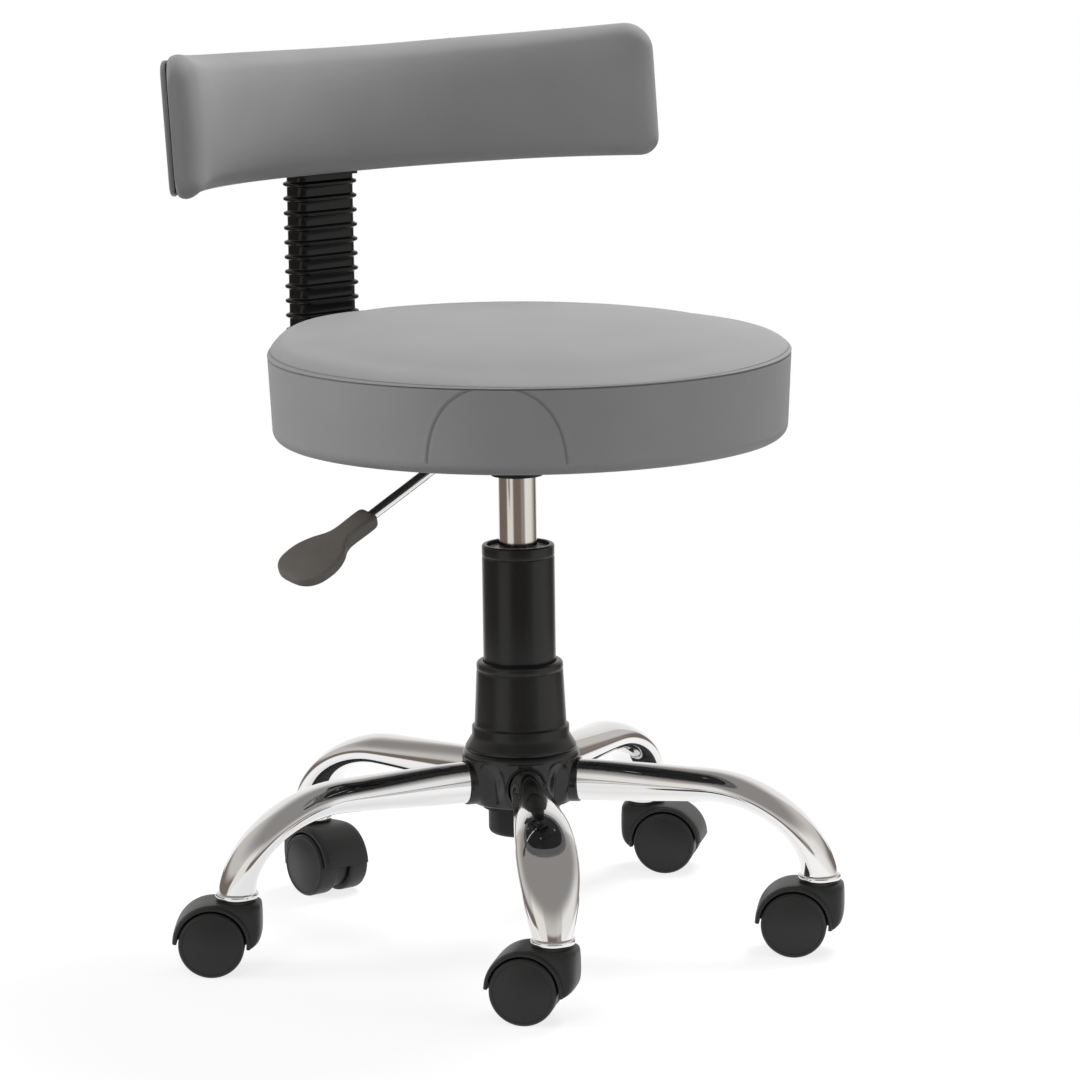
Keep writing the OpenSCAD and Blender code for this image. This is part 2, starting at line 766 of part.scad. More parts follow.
// Knobs stand with the stud's tip at the origin and the head below
module knob(stud_len) {
    difference() {
        union() {
            translate([0, 0, -stud_len - cut]) cylinder(h = stud_len + cut, d = knob_stud_d);
            translate([0, 0, -stud_len - knob_h]) rotate_extrude() polygon(concat([[0, knob_h], [0, 0]],
                arc([knob_d / 2 - knob_edge_r, knob_edge_r], knob_edge_r, -90, 0, arc_steps),
                arc([knob_d / 2 - knob_edge_r, knob_h - knob_edge_r], knob_edge_r, 0, 90, arc_steps)));
        }
        for (k = [0 : knob_lobes - 1]) rotate([0, 0, 360 * k / knob_lobes])
            translate([(knob_d + knob_lobe_d / 2) / 2, 0, -stud_len - knob_h - cut])
                cylinder(h = knob_h + 2 * cut, d = knob_lobe_d, $fn = 24);
    }
}

module depth_knob() {
    color("black") translate([0, depth_knob_y, bar_z - bar_t / 2 - slide_gap])
        knob(guide_wall + knob_gap);
}

// Back bar and bellows
module back_bar() {
    top_z = back_mid_z + bar_above_mid;
    bend_y = post_y - bar_bend_r;
    bend_z = bar_z + bar_bend_r;
    color("#262626") translate([bar_w / 2, 0, 0]) rotate([0, -90, 0]) linear_extrude(bar_w) union() {
        translate([bar_z - bar_t / 2, bar_front_y]) square([bar_t, bend_y - bar_front_y]);
        translate([bend_z, post_y - bar_t / 2]) square([top_z - bend_z, bar_t]);
        translate([bend_z, bend_y]) intersection() {
            difference() {
                circle(bar_bend_r + bar_t / 2);
                circle(bar_bend_r - bar_t / 2);
            }
            translate([-2 * bar_bend_r, 0]) square([2 * bar_bend_r, 2 * bar_bend_r]);
        }
    }
}

function bellows_z() = bar_z + bar_bend_r + bellows_above;
function bellows_top() = back_mid_z - bracket_low - seat_gap;
function bellows_rings() = let (pitch = (bellows_top() - bellows_z()) / bellows_ribs,
    half = pitch * rib_share / 2)
    concat([[bellows_z(), 0]],
        [for (k = [0 : bellows_ribs - 1], s = [-1, -0.45, 0.45, 1])
            [bellows_z() + pitch * (k + 0.5) + s * half, abs(s) == 1 ? 0 : 1]],
        [[bellows_top(), 0]]);

module bellows() {
    rings = [for (row = bellows_rings()) [for (p = rounded_ring(mix(bellows_core_w, bellows_w, row[1]),
        mix(bellows_core_d, bellows_d, row[1]), mix(bellows_core_r, bellows_r, row[1]), 3)) [p[0], p[1],
            row[0]]]];
    bore_w = bellows_core_w - 2 * bellows_wall;
    bore_d = bellows_core_d - 2 * bellows_wall;
    color("#1c1c1c") translate([0, post_y, 0]) difference() {
        loft(rings);
        translate([-bore_w / 2, -bore_d / 2, bellows_z() + bellows_floor])
            cube([bore_w, bore_d, bellows_top() - bellows_z()]);
        translate([-bar_w / 2 - seat_gap, -bar_t / 2 - seat_gap, bellows_z() - cut])
            cube([bar_w + 2 * seat_gap, bar_t + 2 * seat_gap, bellows_floor + 2 * cut]);
    }
}

// Backrest
module back_space() {
    translate([0, post_y, back_mid_z]) rotate([-back_lean, 0, 0]) translate([0, back_c_y - post_y, 0])
        children();
}

module arc_slab(r1, r2, z1, z2, half_angle) {
    rotate([0, 0, 90 - half_angle]) rotate_extrude(angle = 2 * half_angle)
        translate([r1, z1]) square([r2 - r1, z2 - z1]);
}

// Places along the pad's length, closer together at its rounded ends
function back_places(length, r) = concat(
    [for (k = [0 : 4]) r * (1 - cos(22.5 * k))],
    [for (k = [1 : back_steps - 1]) mix(r, length - r, k / back_steps)],
    [for (k = [4 : -1 : 0]) length - r * (1 - cos(22.5 * k))]);
function corner_fall(e, r) = e >= r ? 0 : r - sqrt(r * r - pow(r - e, 2));
function end_drop(s, length) = pad_end_drop * pow(2 * s / length - 1, 2);

// The pad's section: flat behind, rounded edges and a crowned face in front
function pad_section(s, length) = let (
        e = min(s, length - s),
        t = pad_t - corner_fall(e, pad_edge_r),
        top = back_h / 2 - corner_fall(e, pad_top_corner_r),
        low = -back_h / 2 - end_drop(s, length) + corner_fall(e, pad_low_corner_r),
        swell = pad_crown * min(1, e / pad_top_corner_r))
    concat([[back_inner_r, low + pad_edge_r / 4], [back_inner_r, top - pad_edge_r / 4]],
        [for (k = [0 : 4]) let (a = 22.5 * k)
            [back_inner_r - t + pad_edge_r * (1 - sin(a)), top - pad_edge_r * (1 - cos(a))]],
        [for (v = [0.6, 0, -0.6]) [back_inner_r - t - swell * (1 - v * v), mix(low, top, (1 + v) / 2)]],
        [for (k = [4 : -1 : 0]) let (a = 22.5 * k)
            [back_inner_r - t + pad_edge_r * (1 - sin(a)), low + pad_edge_r * (1 - cos(a))]]);

// The shell's section: flat in front, rounded edges behind, drawn in by inset
function shell_section(s, length, inset) = let (
        e = min(s, length - s),
        front = back_inner_r + shell_groove,
        t = shell_t - inset - corner_fall(e, shell_edge_r) / 2,
        top = back_h / 2 - inset - corner_fall(e, pad_top_corner_r),
        low = -back_h / 2 + inset - end_drop(s, length) + corner_fall(e, pad_low_corner_r))
    concat([[front - (inset > 0 ? cut : 0), top], [front - (inset > 0 ? cut : 0), low]],
        [for (k = [0 : 3]) let (a = 30 * k)
            [front + t - shell_edge_r * (1 - sin(a)), low + shell_edge_r * (1 - cos(a))]],
        [for (k = [3 : -1 : 0]) let (a = 30 * k)
            [front + t - shell_edge_r * (1 - sin(a)), top - shell_edge_r * (1 - cos(a))]]);

function around(section, angle) = [for (p = section) [p[0] * sin(angle), p[0] * cos(angle), p[1]]];

module back_pad() {
    length = 2 * PI * back_inner_r * back_half_angle / 180;
    rings = [for (s = back_places(length, pad_top_corner_r))
        around(pad_section(s, length), back_half_angle * (2 * s / length - 1))];
    pocket = back_half_angle - board_back_inset * 180 / (PI * back_inner_r);
    color("#7d7d7f") back_space() difference() {
        loft(rings);
        arc_slab(back_inner_r - board_back_t, back_inner_r + cut, board_back_inset - back_h / 2,
            back_h / 2 - board_back_inset, pocket);
    }
}

module back_board() {
    pocket = back_half_angle - board_back_inset * 180 / (PI * back_inner_r);
    color("burlywood") difference() {
        back_space() arc_slab(back_inner_r - board_back_t, back_inner_r, board_back_inset - back_h / 2,
            back_h / 2 - board_back_inset, pocket);
        at_screws() translate([0, 0, -2 * board_back_t]) cylinder(h = 3 * board_back_t, d = screw_d);
    }
}

// Screws point outwards along the arc's radius, with the board's rear face at the origin
module at_screws() {
    screw_angle = asin(screw_x / back_inner_r);
    for (a = [-screw_angle, screw_angle], z = [-screw_z, screw_z])
        back_space() rotate([0, 0, -a]) translate([0, back_inner_r, z]) rotate([-90, 0, 0]) children();
}

module back_bracket() {
    block_z = back_mid_z - bracket_low;
    front = post_y - bar_t / 2 - slide_gap;
    rear = post_y + bar_t / 2 + slide_gap + bracket_wall;
    flange_angle = asin(flange_w / 2 / back_inner_r);
    knob_z = back_mid_z - height_knob_low;
    color("#262626") difference() {
        union() {
            translate([-bracket_w / 2, front - 4 * bracket_wall, block_z])
                cube([bracket_w, rear - front + 4 * bracket_wall, bracket_h]);
            back_space() arc_slab(back_inner_r, back_inner_r + flange_t, -flange_low, flange_h - flange_low,
                flange_angle);
            translate([0, rear, knob_z]) rotate([-90, 0, 0]) cylinder(h = boss_len, d = boss_d);
        }
        back_space() translate([0, 0, -back_h]) cylinder(h = 2 * back_h, r = back_inner_r, $fn = 96);
        translate([-bar_w / 2 - slide_gap, front, block_z - back_h])
            cube([bar_w + 2 * slide_gap, bar_t + 2 * slide_gap, 3 * back_h]);
        translate([0, post_y, knob_z]) rotate([-90, 0, 0])
            cylinder(h = 2 * pod_depth, d = knob_stud_d + 2 * run_gap);
        at_screws() translate([0, 0, -cut]) cylinder(h = flange_t + 2 * cut, d = screw_d + 2 * slide_gap);
    }
}

module back_screws() {
    color("silver") at_screws() union() {
        translate([0, 0, -board_back_t]) cylinder(h = board_back_t + flange_t, d = screw_d);
        translate([0, 0, flange_t]) cylinder(h = screw_head_t, d = screw_head_d);
    }
}

module pod(inset) {
    half = pod_w / 2 - inset;
    depth = pod_depth - inset;
    r = pod_corner_r - inset;
    translate([0, back_inner_r + shell_groove, inset - pod_low]) linear_extrude(pod_h - 2 * inset) union() {
        translate([-half, 0]) square([2 * half, depth - r]);
        translate([r - half, 0]) square([2 * (half - r), depth]);
        for (x = [r - half, half - r]) translate([x, depth - r]) circle(r);
    }
}

module back_shell() {
    length = 2 * PI * back_inner_r * back_half_angle / 180;
    outer = [for (s = back_places(length, pad_top_corner_r))
        around(shell_section(s, length, 0), back_half_angle * (2 * s / length - 1))];
    inner_length = length - 2 * shell_wall;
    inner = [for (s = back_places(inner_length, pad_top_corner_r))
        around(shell_section(s, inner_length, shell_wall),
            back_half_angle * (2 * s + 2 * shell_wall - length) / length)];
    knob_z = back_mid_z - height_knob_low;
    color("#7d7d7f") difference() {
        back_space() union() {
            difference() {
                union() {
                    loft(outer);
                    pod(0);
                }
                loft(inner);
                pod(shell_wall);
            }
            for (a = [-spacer_angle, spacer_angle]) rotate([0, 0, -a]) translate([0, back_inner_r, 0])
                rotate([-90, 0, 0]) cylinder(h = shell_groove + shell_t - shell_wall + cut, d = spacer_d);
        }
        translate([-bracket_w / 2 - seat_gap, 0, back_mid_z - bracket_low - cut])
            cube([bracket_w + 2 * seat_gap, post_y + bar_t / 2 + bracket_wall + 2 * seat_gap, pod_low]);
        translate([0, post_y, knob_z]) rotate([-90, 0, 0])
            cylinder(h = 3 * pod_depth, d = boss_d + 4 * seat_gap);
    }
}

module height_knob() {
    stud = bracket_wall + boss_len + shell_groove + boss_len;
    color("black") translate([0, post_y + bar_t / 2 + slide_gap, back_mid_z - height_knob_low])
        rotate([90, 0, 0])
        knob(stud);
}

// Casters: each is drawn with its stem at the origin and its trail along +X
module at_caster(i) {
    at_arm(i) translate([base_r, 0, 0]) rotate([0, 0, 90 - arm_angle(i) + trail_angles[i - 1]]) children();
}

module hood_side() {
    axle_z = wheel_d / 2;
    r = wheel_d / 2 + hood_gap + hood_wall;
    top_z = caster_h - seat_gap;
    low_z = axle_z - hood_low;
    union() {
        intersection() {
            translate([caster_trail, axle_z]) circle(r);
            translate([0, axle_z + hood_tail_up]) square([caster_trail + r, r]);
        }
        polygon(concat(
            [[caster_trail, low_z], [caster_trail, axle_z + r - hood_wall], [stem_low_d / 2, top_z]],
            arc([hood_shoulder_r - stem_side, top_z - hood_shoulder_r], hood_shoulder_r, 90, 180, arc_steps),
            arc([hood_foot_r - stem_side, low_z + hood_foot_r], hood_foot_r, 180, 270, arc_steps)));
    }
}

module caster_hood(i) {
    axle_z = wheel_d / 2;
    wheel_space_r = wheel_d / 2 + hood_gap;
    color("#1c1c1c") at_caster(i) difference() {
        union() {
            intersection() {
                translate([0, hood_w / 2, 0]) rotate([90, 0, 0]) linear_extrude(hood_w) hood_side();
                linear_extrude(2 * caster_h) union() {
                    circle(stem_side);
                    translate([0, -hood_w / 2]) square([2 * wheel_d, hood_w]);
                }
            }
            translate([caster_trail, web_t / 2, axle_z]) rotate([90, 0, 0]) cylinder(h = web_t, r = web_r);
        }
        for (side = [0, 1]) mirror([0, side, 0]) translate([caster_trail, wheel_w + web_t, axle_z])
            rotate([90, 0, 0])
            cylinder(h = wheel_w + web_t / 2, r = wheel_space_r);
        translate([caster_trail, wheel_w, axle_z]) rotate([90, 0, 0]) cylinder(h = 2 * wheel_w, d = axle_d);
        translate([0, 0, caster_h - stem_low - seat_gap])
            cylinder(h = stem_low + cut, d = stem_low_d + 2 * run_gap);
    }
}

module caster_axle(i) {
    len_y = web_t + 2 * axle_in;
    color("silver") at_caster(i) translate([caster_trail, len_y / 2, wheel_d / 2]) rotate([90, 0, 0])
        cylinder(h = len_y, d = axle_d);
}

// A wheel's outline from its inner face to its dished outer face, as radius and distance from the web
function wheel_outline() = let (r = wheel_d / 2, x0 = seat_gap, x1 = seat_gap + wheel_w) concat(
    [[0, wheel_bore_h], [axle_d / 2 + run_gap, wheel_bore_h], [axle_d / 2 + run_gap, x0], [wheel_hub_r, x0],
        [wheel_hub_r, wheel_hollow], [r - wheel_rim_t, wheel_hollow], [r - wheel_rim_t, x0 + wheel_edge_r]],
    arc([r - wheel_edge_r, x0 + wheel_edge_r], wheel_edge_r, -90, 0, arc_steps),
    arc([r - wheel_edge_r, x1 - wheel_edge_r], wheel_edge_r, 0, 90, arc_steps),
    [[r - wheel_rim_t, x1], [r - wheel_rim_t - wheel_edge_r, x1 - wheel_dish], [0, x1 - wheel_dish / 2]]);

module wheel(i, side) {
    color("#232323") at_caster(i) translate([caster_trail, side * web_t / 2, wheel_d / 2])
        rotate([-90 * side, 0, 0])
        rotate_extrude($fn = 72) polygon(wheel_outline());
}

hub_tube();
base_arm(1);  // base_arm_1
base_arm(2);  // base_arm_2
base_arm(3);  // base_arm_3
base_arm(4);  // base_arm_4
base_arm(5);  // base_arm_5
caster_stems();
hub_cover();
lower_cover();
upper_cover();
gas_cylinder();
guide_bush();
thrust_bearing();
rubber_buffer();
piston_rod();
retaining_clip();
gas_column();
rod_gland();
mechanism_housing();
seat_plate();
bar_guide();
lever_pin();
seat_board();
seat_foam();
seat_cover();
tee_nuts();
seat_bolts();
lever_rod();
lever_paddle();
release_button();
depth_knob();
back_bar();
bellows();
back_bracket();
back_board();
back_pad();
back_shell();
back_screws();
height_knob();
caster_hood(1);  // caster_hood_1
caster_axle(1);  // caster_axle_1
wheel(1, 1);  // wheel_left_1
wheel(1, -1);  // wheel_right_1
caster_hood(2);  // caster_hood_2
caster_axle(2);  // caster_axle_2
wheel(2, 1);  // wheel_left_2
wheel(2, -1);  // wheel_right_2
caster_hood(3);  // caster_hood_3
caster_axle(3);  // caster_axle_3
wheel(3, 1);  // wheel_left_3
wheel(3, -1);  // wheel_right_3
caster_hood(4);  // caster_hood_4
caster_axle(4);  // caster_axle_4
wheel(4, 1);  // wheel_left_4
wheel(4, -1);  // wheel_right_4
caster_hood(5);  // caster_hood_5
caster_axle(5);  // caster_axle_5
wheel(5, 1);  // wheel_left_5
wheel(5, -1);  // wheel_right_5
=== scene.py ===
import math

import bmesh
import bpy
from mathutils import Matrix, Vector
from mathutils.bvhtree import BVHTree


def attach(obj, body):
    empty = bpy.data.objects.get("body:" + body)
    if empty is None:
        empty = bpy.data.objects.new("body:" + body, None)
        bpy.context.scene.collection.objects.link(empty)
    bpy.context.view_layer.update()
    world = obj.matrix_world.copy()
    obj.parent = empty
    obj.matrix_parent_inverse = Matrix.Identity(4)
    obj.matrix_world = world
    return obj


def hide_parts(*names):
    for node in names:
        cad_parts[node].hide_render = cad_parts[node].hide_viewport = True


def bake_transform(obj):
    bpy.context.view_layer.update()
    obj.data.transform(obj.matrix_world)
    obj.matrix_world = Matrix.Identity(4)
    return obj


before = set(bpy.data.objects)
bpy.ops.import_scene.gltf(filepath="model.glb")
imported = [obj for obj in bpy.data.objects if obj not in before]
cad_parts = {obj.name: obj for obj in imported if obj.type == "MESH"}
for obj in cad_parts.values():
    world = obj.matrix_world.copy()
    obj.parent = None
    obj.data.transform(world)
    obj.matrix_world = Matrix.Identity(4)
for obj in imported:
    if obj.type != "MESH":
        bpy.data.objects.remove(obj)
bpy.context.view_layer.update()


# Photographer's camera: a long lens at the sitter's front left, a little above the seat,
# turned a touch so that the column stands as it does in the picture.
camera_lens = bpy.data.cameras.new("camera")
camera = bpy.data.objects.new("camera", camera_lens)
bpy.context.scene.collection.objects.link(camera)
camera_lens.sensor_fit = "HORIZONTAL"
camera_lens.sensor_width = 36
camera_lens.lens = 149.164
camera_lens.clip_end = 100
camera.location = (-2.1298, -2.4317, 0.8807)
camera.rotation_euler = (1.3928, 0.0133, -0.7267)
bpy.context.scene.camera = camera
bpy.context.scene.view_settings.view_transform = "Standard"


# White room: the camera sees it fully white. Shiny parts see white, grey and dark standing screens
# all round, a pale wall above them and a grey ceiling. The room lights the stool at a plain level.
def seen_directly(tree):
    path = tree.nodes.new("ShaderNodeLightPath")
    either = tree.nodes.new("ShaderNodeMath")
    any_ray = tree.nodes.new("ShaderNodeMath")
    either.operation = any_ray.operation = "MAXIMUM"
    tree.links.new(path.outputs["Is Camera Ray"], either.inputs[0])
    tree.links.new(path.outputs["Is Glossy Ray"], either.inputs[1])
    tree.links.new(either.outputs[0], any_ray.inputs[0])
    tree.links.new(path.outputs["Is Transmission Ray"], any_ray.inputs[1])
    return any_ray.outputs[0]


room_light = 0.32
dark_side, mid_side = (0.20, 0.165, 0.145), (0.34, 0.30, 0.27)
bright_side, white_side = (0.92, 0.90, 0.85), (1, 1, 1)
panorama = [
    (0, dark_side), (13, dark_side), (17, white_side), (83, white_side), (87, dark_side), (161, dark_side),
    (166, bright_side), (199, bright_side), (205, dark_side), (248, dark_side), (252, mid_side), (270, mid_side),
    (276, white_side), (318, bright_side), (344, mid_side), (352, dark_side)]
wall_colour, wall_share, wall_start, wall_end = (0.90, 0.88, 0.85), 0.62, 0.10, 0.28
ceiling_colour, ceiling_start, ceiling_end = (0.30, 0.29, 0.28), 0.38, 0.75
room = bpy.data.worlds.new("white_room")
bpy.context.scene.world = room
room.use_nodes = True
room_tree = room.node_tree


def studio_screens(tree, vector):
    parts = tree.nodes.new("ShaderNodeSeparateXYZ")
    bearing = tree.nodes.new("ShaderNodeMath")
    bearing.operation = "ARCTAN2"
    turn = tree.nodes.new("ShaderNodeMapRange")
    turn.clamp = False
    turn.inputs["From Min"].default_value = -math.pi
    turn.inputs["From Max"].default_value = math.pi
    turn.inputs["To Min"].default_value = -0.5
    turn.inputs["To Max"].default_value = 0.5
    whole = tree.nodes.new("ShaderNodeMath")
    whole.operation = "FLOORED_MODULO"
    whole.inputs[1].default_value = 1
    screens = tree.nodes.new("ShaderNodeValToRGB")
    while len(screens.color_ramp.elements) < len(panorama):
        screens.color_ramp.elements.new(1)
    for element, (angle, colour) in zip(screens.color_ramp.elements, panorama):
        element.position = angle / 360
        element.color = (*colour, 1)
    tree.links.new(vector, parts.inputs[0])
    tree.links.new(parts.outputs["Y"], bearing.inputs[0])
    tree.links.new(parts.outputs["X"], bearing.inputs[1])
    tree.links.new(bearing.outputs[0], turn.inputs["Value"])
    tree.links.new(turn.outputs["Result"], whole.inputs[0])
    tree.links.new(whole.outputs[0], screens.inputs["Fac"])
    return screens.outputs["Color"], parts.outputs["Z"]


def tinted(tree, factor, first, second):
    mix = tree.nodes.new("ShaderNodeMix")
    mix.data_type = "RGBA"
    for socket, value in (("Factor", factor), ("A", first), ("B", second)):
        if isinstance(value, bpy.types.NodeSocket):
            tree.links.new(value, mix.inputs[socket])
        else:
            mix.inputs[socket].default_value = value if socket == "Factor" else (*value, 1)
    return mix.outputs["Result"]


def risen(tree, value, start, end):
    step = tree.nodes.new("ShaderNodeMapRange")
    step.interpolation_type = "SMOOTHSTEP"
    step.inputs["From Min"].default_value = start
    step.inputs["From Max"].default_value = end
    tree.links.new(value, step.inputs["Value"])
    return step.outputs["Result"]


lighting = room_tree.nodes["Background"]
lighting.inputs["Color"].default_value = (1, 1, 1, 1)
lighting.inputs["Strength"].default_value = room_light
backdrop = room_tree.nodes.new("ShaderNodeBackground")
backdrop.inputs["Strength"].default_value = 1
room_mix = room_tree.nodes.new("ShaderNodeMixShader")
room_tree.links.new(seen_directly(room_tree), room_mix.inputs[0])
room_tree.links.new(lighting.outputs[0], room_mix.inputs[1])
room_tree.links.new(backdrop.outputs[0], room_mix.inputs[2])
room_tree.links.new(room_mix.outputs[0], room_tree.nodes["World Output"].inputs["Surface"])
direction = room_tree.nodes.new("ShaderNodeTexCoord")
screens, upward = studio_screens(room_tree, direction.outputs["Generated"])
wall = tinted(room_tree, wall_share, screens, wall_colour)
low_part = tinted(room_tree, risen(room_tree, upward, wall_start, wall_end), screens, wall)
studio = tinted(room_tree, risen(room_tree, upward, ceiling_start, ceiling_end), low_part, ceiling_colour)
ray = room_tree.nodes.new("ShaderNodeLightPath")
shown = tinted(room_tree, ray.outputs["Is Glossy Ray"], (1, 1, 1), studio)
room_tree.links.new(shown, backdrop.inputs["Color"])


# Soft studio lamps: a large softbox above the viewer's right, a weaker one high in front, and one on
# each side. The chrome shows the room's screens and no lamp.
def softbox(name, place, target, size, power):
    lamp = bpy.data.lights.new(name, "AREA")
    lamp.shape = "SQUARE"
    lamp.size = size
    lamp.energy = power
    stand = bpy.data.objects.new(name, lamp)
    bpy.context.scene.collection.objects.link(stand)
    stand.location = place
    stand.visible_glossy = False
    stand.rotation_euler = (Vector(target) - Vector(place)).to_track_quat("-Z", "Y").to_euler()


softbox("overhead", (1.15, 0.10, 2.0), (0, 0, 0.4), 0.9, 53)
softbox("right", (0.40, -0.92, 0.40), (0, 0, 0.42), 0.4, 2.4)
softbox("left", (-1.5, 1.1, 0.9), (0, 0, 0.4), 0.8, 22)
softbox("front", (-1.6, -0.75, 2.2), (0, 0, 0.5), 0.8, 17)


# Floor: white seamless paper, faintly shaded under the stool and pure white further out. Away from
# the stool shiny parts see the room's screens in it.
floor_size = 40
paper_share, plain_paper = 0.20, (0.40, 0.40, 0.40, 1)
shade_start, shade_end = 0.32, 0.95
screen_start, screen_end = 0.50, 0.90

floor_mesh = bmesh.new()
bmesh.ops.create_grid(floor_mesh, x_segments=1, y_segments=1, size=floor_size)
floor_data = bpy.data.meshes.new("floor")
floor_mesh.to_mesh(floor_data)
floor_mesh.free()
floor = bpy.data.objects.new("floor", floor_data)
bpy.context.scene.collection.objects.link(floor)

paper = bpy.data.materials.new("white_paper")
paper.use_nodes = True
tree = paper.node_tree
tree.nodes.clear()
output = tree.nodes.new("ShaderNodeOutputMaterial")
place = tree.nodes.new("ShaderNodeTexCoord")
reach = tree.nodes.new("ShaderNodeVectorMath")
reach.operation = "LENGTH"
fade = tree.nodes.new("ShaderNodeMapRange")
fade.interpolation_type = "SMOOTHSTEP"
fade.inputs["From Min"].default_value = shade_start
fade.inputs["From Max"].default_value = shade_end
fade.inputs["To Min"].default_value = paper_share
fade.inputs["To Max"].default_value = 0
rest = tree.nodes.new("ShaderNodeMath")
rest.operation = "SUBTRACT"
rest.inputs[0].default_value = 1
shaded = tree.nodes.new("ShaderNodeBsdfDiffuse")
glow = tree.nodes.new("ShaderNodeEmission")
both = tree.nodes.new("ShaderNodeAddShader")
plain = tree.nodes.new("ShaderNodeBsdfDiffuse")
plain.inputs["Color"].default_value = plain_paper
choose = tree.nodes.new("ShaderNodeMixShader")
tree.links.new(place.outputs["Object"], reach.inputs[0])
tree.links.new(reach.outputs["Value"], fade.inputs["Value"])
tree.links.new(fade.outputs["Result"], shaded.inputs["Color"])
tree.links.new(fade.outputs["Result"], rest.inputs[1])
tree.links.new(rest.outputs[0], glow.inputs["Strength"])
far_off = tree.nodes.new("ShaderNodeMath")
far_off.operation = "MULTIPLY"
ray = tree.nodes.new("ShaderNodeLightPath")
tree.links.new(risen(tree, reach.outputs["Value"], screen_start, screen_end), far_off.inputs[0])
tree.links.new(ray.outputs["Is Glossy Ray"], far_off.inputs[1])
screens = studio_screens(tree, place.outputs["Object"])[0]
tree.links.new(tinted(tree, far_off.outputs[0], (1, 1, 1), screens), glow.inputs["Color"])
tree.links.new(shaded.outputs[0], both.inputs[0])
tree.links.new(glow.outputs[0], both.inputs[1])
tree.links.new(seen_directly(tree), choose.inputs[0])
tree.links.new(plain.outputs[0], choose.inputs[1])
tree.links.new(both.outputs[0], choose.inputs[2])
tree.links.new(choose.outputs[0], output.inputs["Surface"])
floor_data.materials.append(paper)


# Steelwork that the stool hangs on: hub tube, gas cylinder, mechanism, seat plate and the back's bar,
# guide and bracket are pressed or welded steel in black powder coat. Stems, axles, pins, bolts, nuts
# and screws are zinc plated.
def moulded(name, colour, roughness, grain_scale=900, grain_strength=0.15, metallic=0.0, shine=0.5):
    vary = 0.06
    material = bpy.data.materials.new(name)
    material.use_nodes = True
    tree = material.node_tree
    skin = tree.nodes["Principled BSDF"]
    skin.inputs["Metallic"].default_value = metallic
    skin.inputs["Specular IOR Level"].default_value = shine
    spot = tree.nodes.new("ShaderNodeTexCoord")
    cloud = tree.nodes.new("ShaderNodeTexNoise")
    cloud.inputs["Scale"].default_value = 35
    cloud.inputs["Detail"].default_value = 5
    tint = tree.nodes.new("ShaderNodeValToRGB")
    tint.color_ramp.elements[0].position = 0.3
    tint.color_ramp.elements[1].position = 0.7
    tint.color_ramp.elements[0].color = [c * (1 - vary) for c in colour] + [1]
    tint.color_ramp.elements[1].color = [min(1, c * (1 + vary)) for c in colour] + [1]
    gloss = tree.nodes.new("ShaderNodeMapRange")
    gloss.inputs["To Min"].default_value = roughness * (1 - vary)
    gloss.inputs["To Max"].default_value = min(1, roughness * (1 + vary))
    grain = tree.nodes.new("ShaderNodeTexNoise")
    grain.inputs["Scale"].default_value = grain_scale
    grain.inputs["Detail"].default_value = 2
    relief = tree.nodes.new("ShaderNodeBump")
    relief.inputs["Strength"].default_value = grain_strength
    relief.inputs["Distance"].default_value = 0.0002
    for texture in (cloud, grain):
        tree.links.new(spot.outputs["Object"], texture.inputs["Vector"])
    tree.links.new(cloud.outputs["Fac"], tint.inputs["Fac"])
    tree.links.new(tint.outputs["Color"], skin.inputs["Base Color"])
    tree.links.new(cloud.outputs["Fac"], gloss.inputs["Value"])
    tree.links.new(gloss.outputs["Result"], skin.inputs["Roughness"])
    tree.links.new(grain.outputs["Fac"], relief.inputs["Height"])
    tree.links.new(relief.outputs["Normal"], skin.inputs["Normal"])
    return material


def dress(material, *nodes):
    for node in nodes:
        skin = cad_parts[node].data.materials
        skin.clear()
        skin.append(material)


black_steel = moulded("black_steel", [0.010, 0.010, 0.011], 0.45, 1600, 0.35, shine=0.3)
zinc_steel = moulded("zinc_steel", [0.55, 0.55, 0.56], 0.28, 2500, 0.08, metallic=1)
dress(black_steel, "back_bar", "back_bracket", "bar_guide", "seat_plate", "mechanism_housing", "hub_tube",
      "gas_cylinder")
dress(zinc_steel, "back_screws", "seat_bolts", "tee_nuts", "lever_pin", "thrust_bearing", "piston_rod",
      "retaining_clip", "caster_stems")


# Arms: five oval steel tubes, bright chrome, welded to the hub. Each is swaged wide and flat along its
# run, bends down to the caster and ends in a round socket with a rolled lip.
arm_z, socket_z, arm_r = 0.1215, 0.0545, 0.224
arm_start, bend_start, tube_sides = 0.0274, 0.140, 56
first_arm, arm_turns = -36, [0, -1.5, 5, 5.5, -1]
tube_sections = [
    (0.00, 26, 31), (0.15, 27, 30.5), (0.30, 31, 28), (0.45, 36, 25), (0.58, 41, 22.5),
    (0.70, 44, 20.5), (0.80, 43, 20), (0.88, 39, 22), (0.94, 33.5, 25), (0.975, 29.5, 27.5), (1.00, 28.5, 28.2)]


def put_in_order(mesh):
    for rank, v in enumerate(sorted(mesh.verts, key=lambda v: v.co[:])):
        v.index = rank
    mesh.verts.sort()
    for parts in (mesh.edges, mesh.faces):
        for rank, part in enumerate(sorted(parts, key=lambda p: sorted(v.index for v in p.verts))):
            part.index = rank
        parts.sort()


def add_piece(name, mesh, material, body, crease):
    put_in_order(mesh)
    data = bpy.data.meshes.new(name)
    mesh.to_mesh(data)
    mesh.free()
    data.polygons.foreach_set("use_smooth", [True] * len(data.polygons))
    data.set_sharp_from_angle(angle=math.radians(crease))
    data.materials.append(material)
    piece = bpy.data.objects.new(name, data)
    bpy.context.scene.collection.objects.link(piece)
    if body:
        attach(piece, body)
    return piece


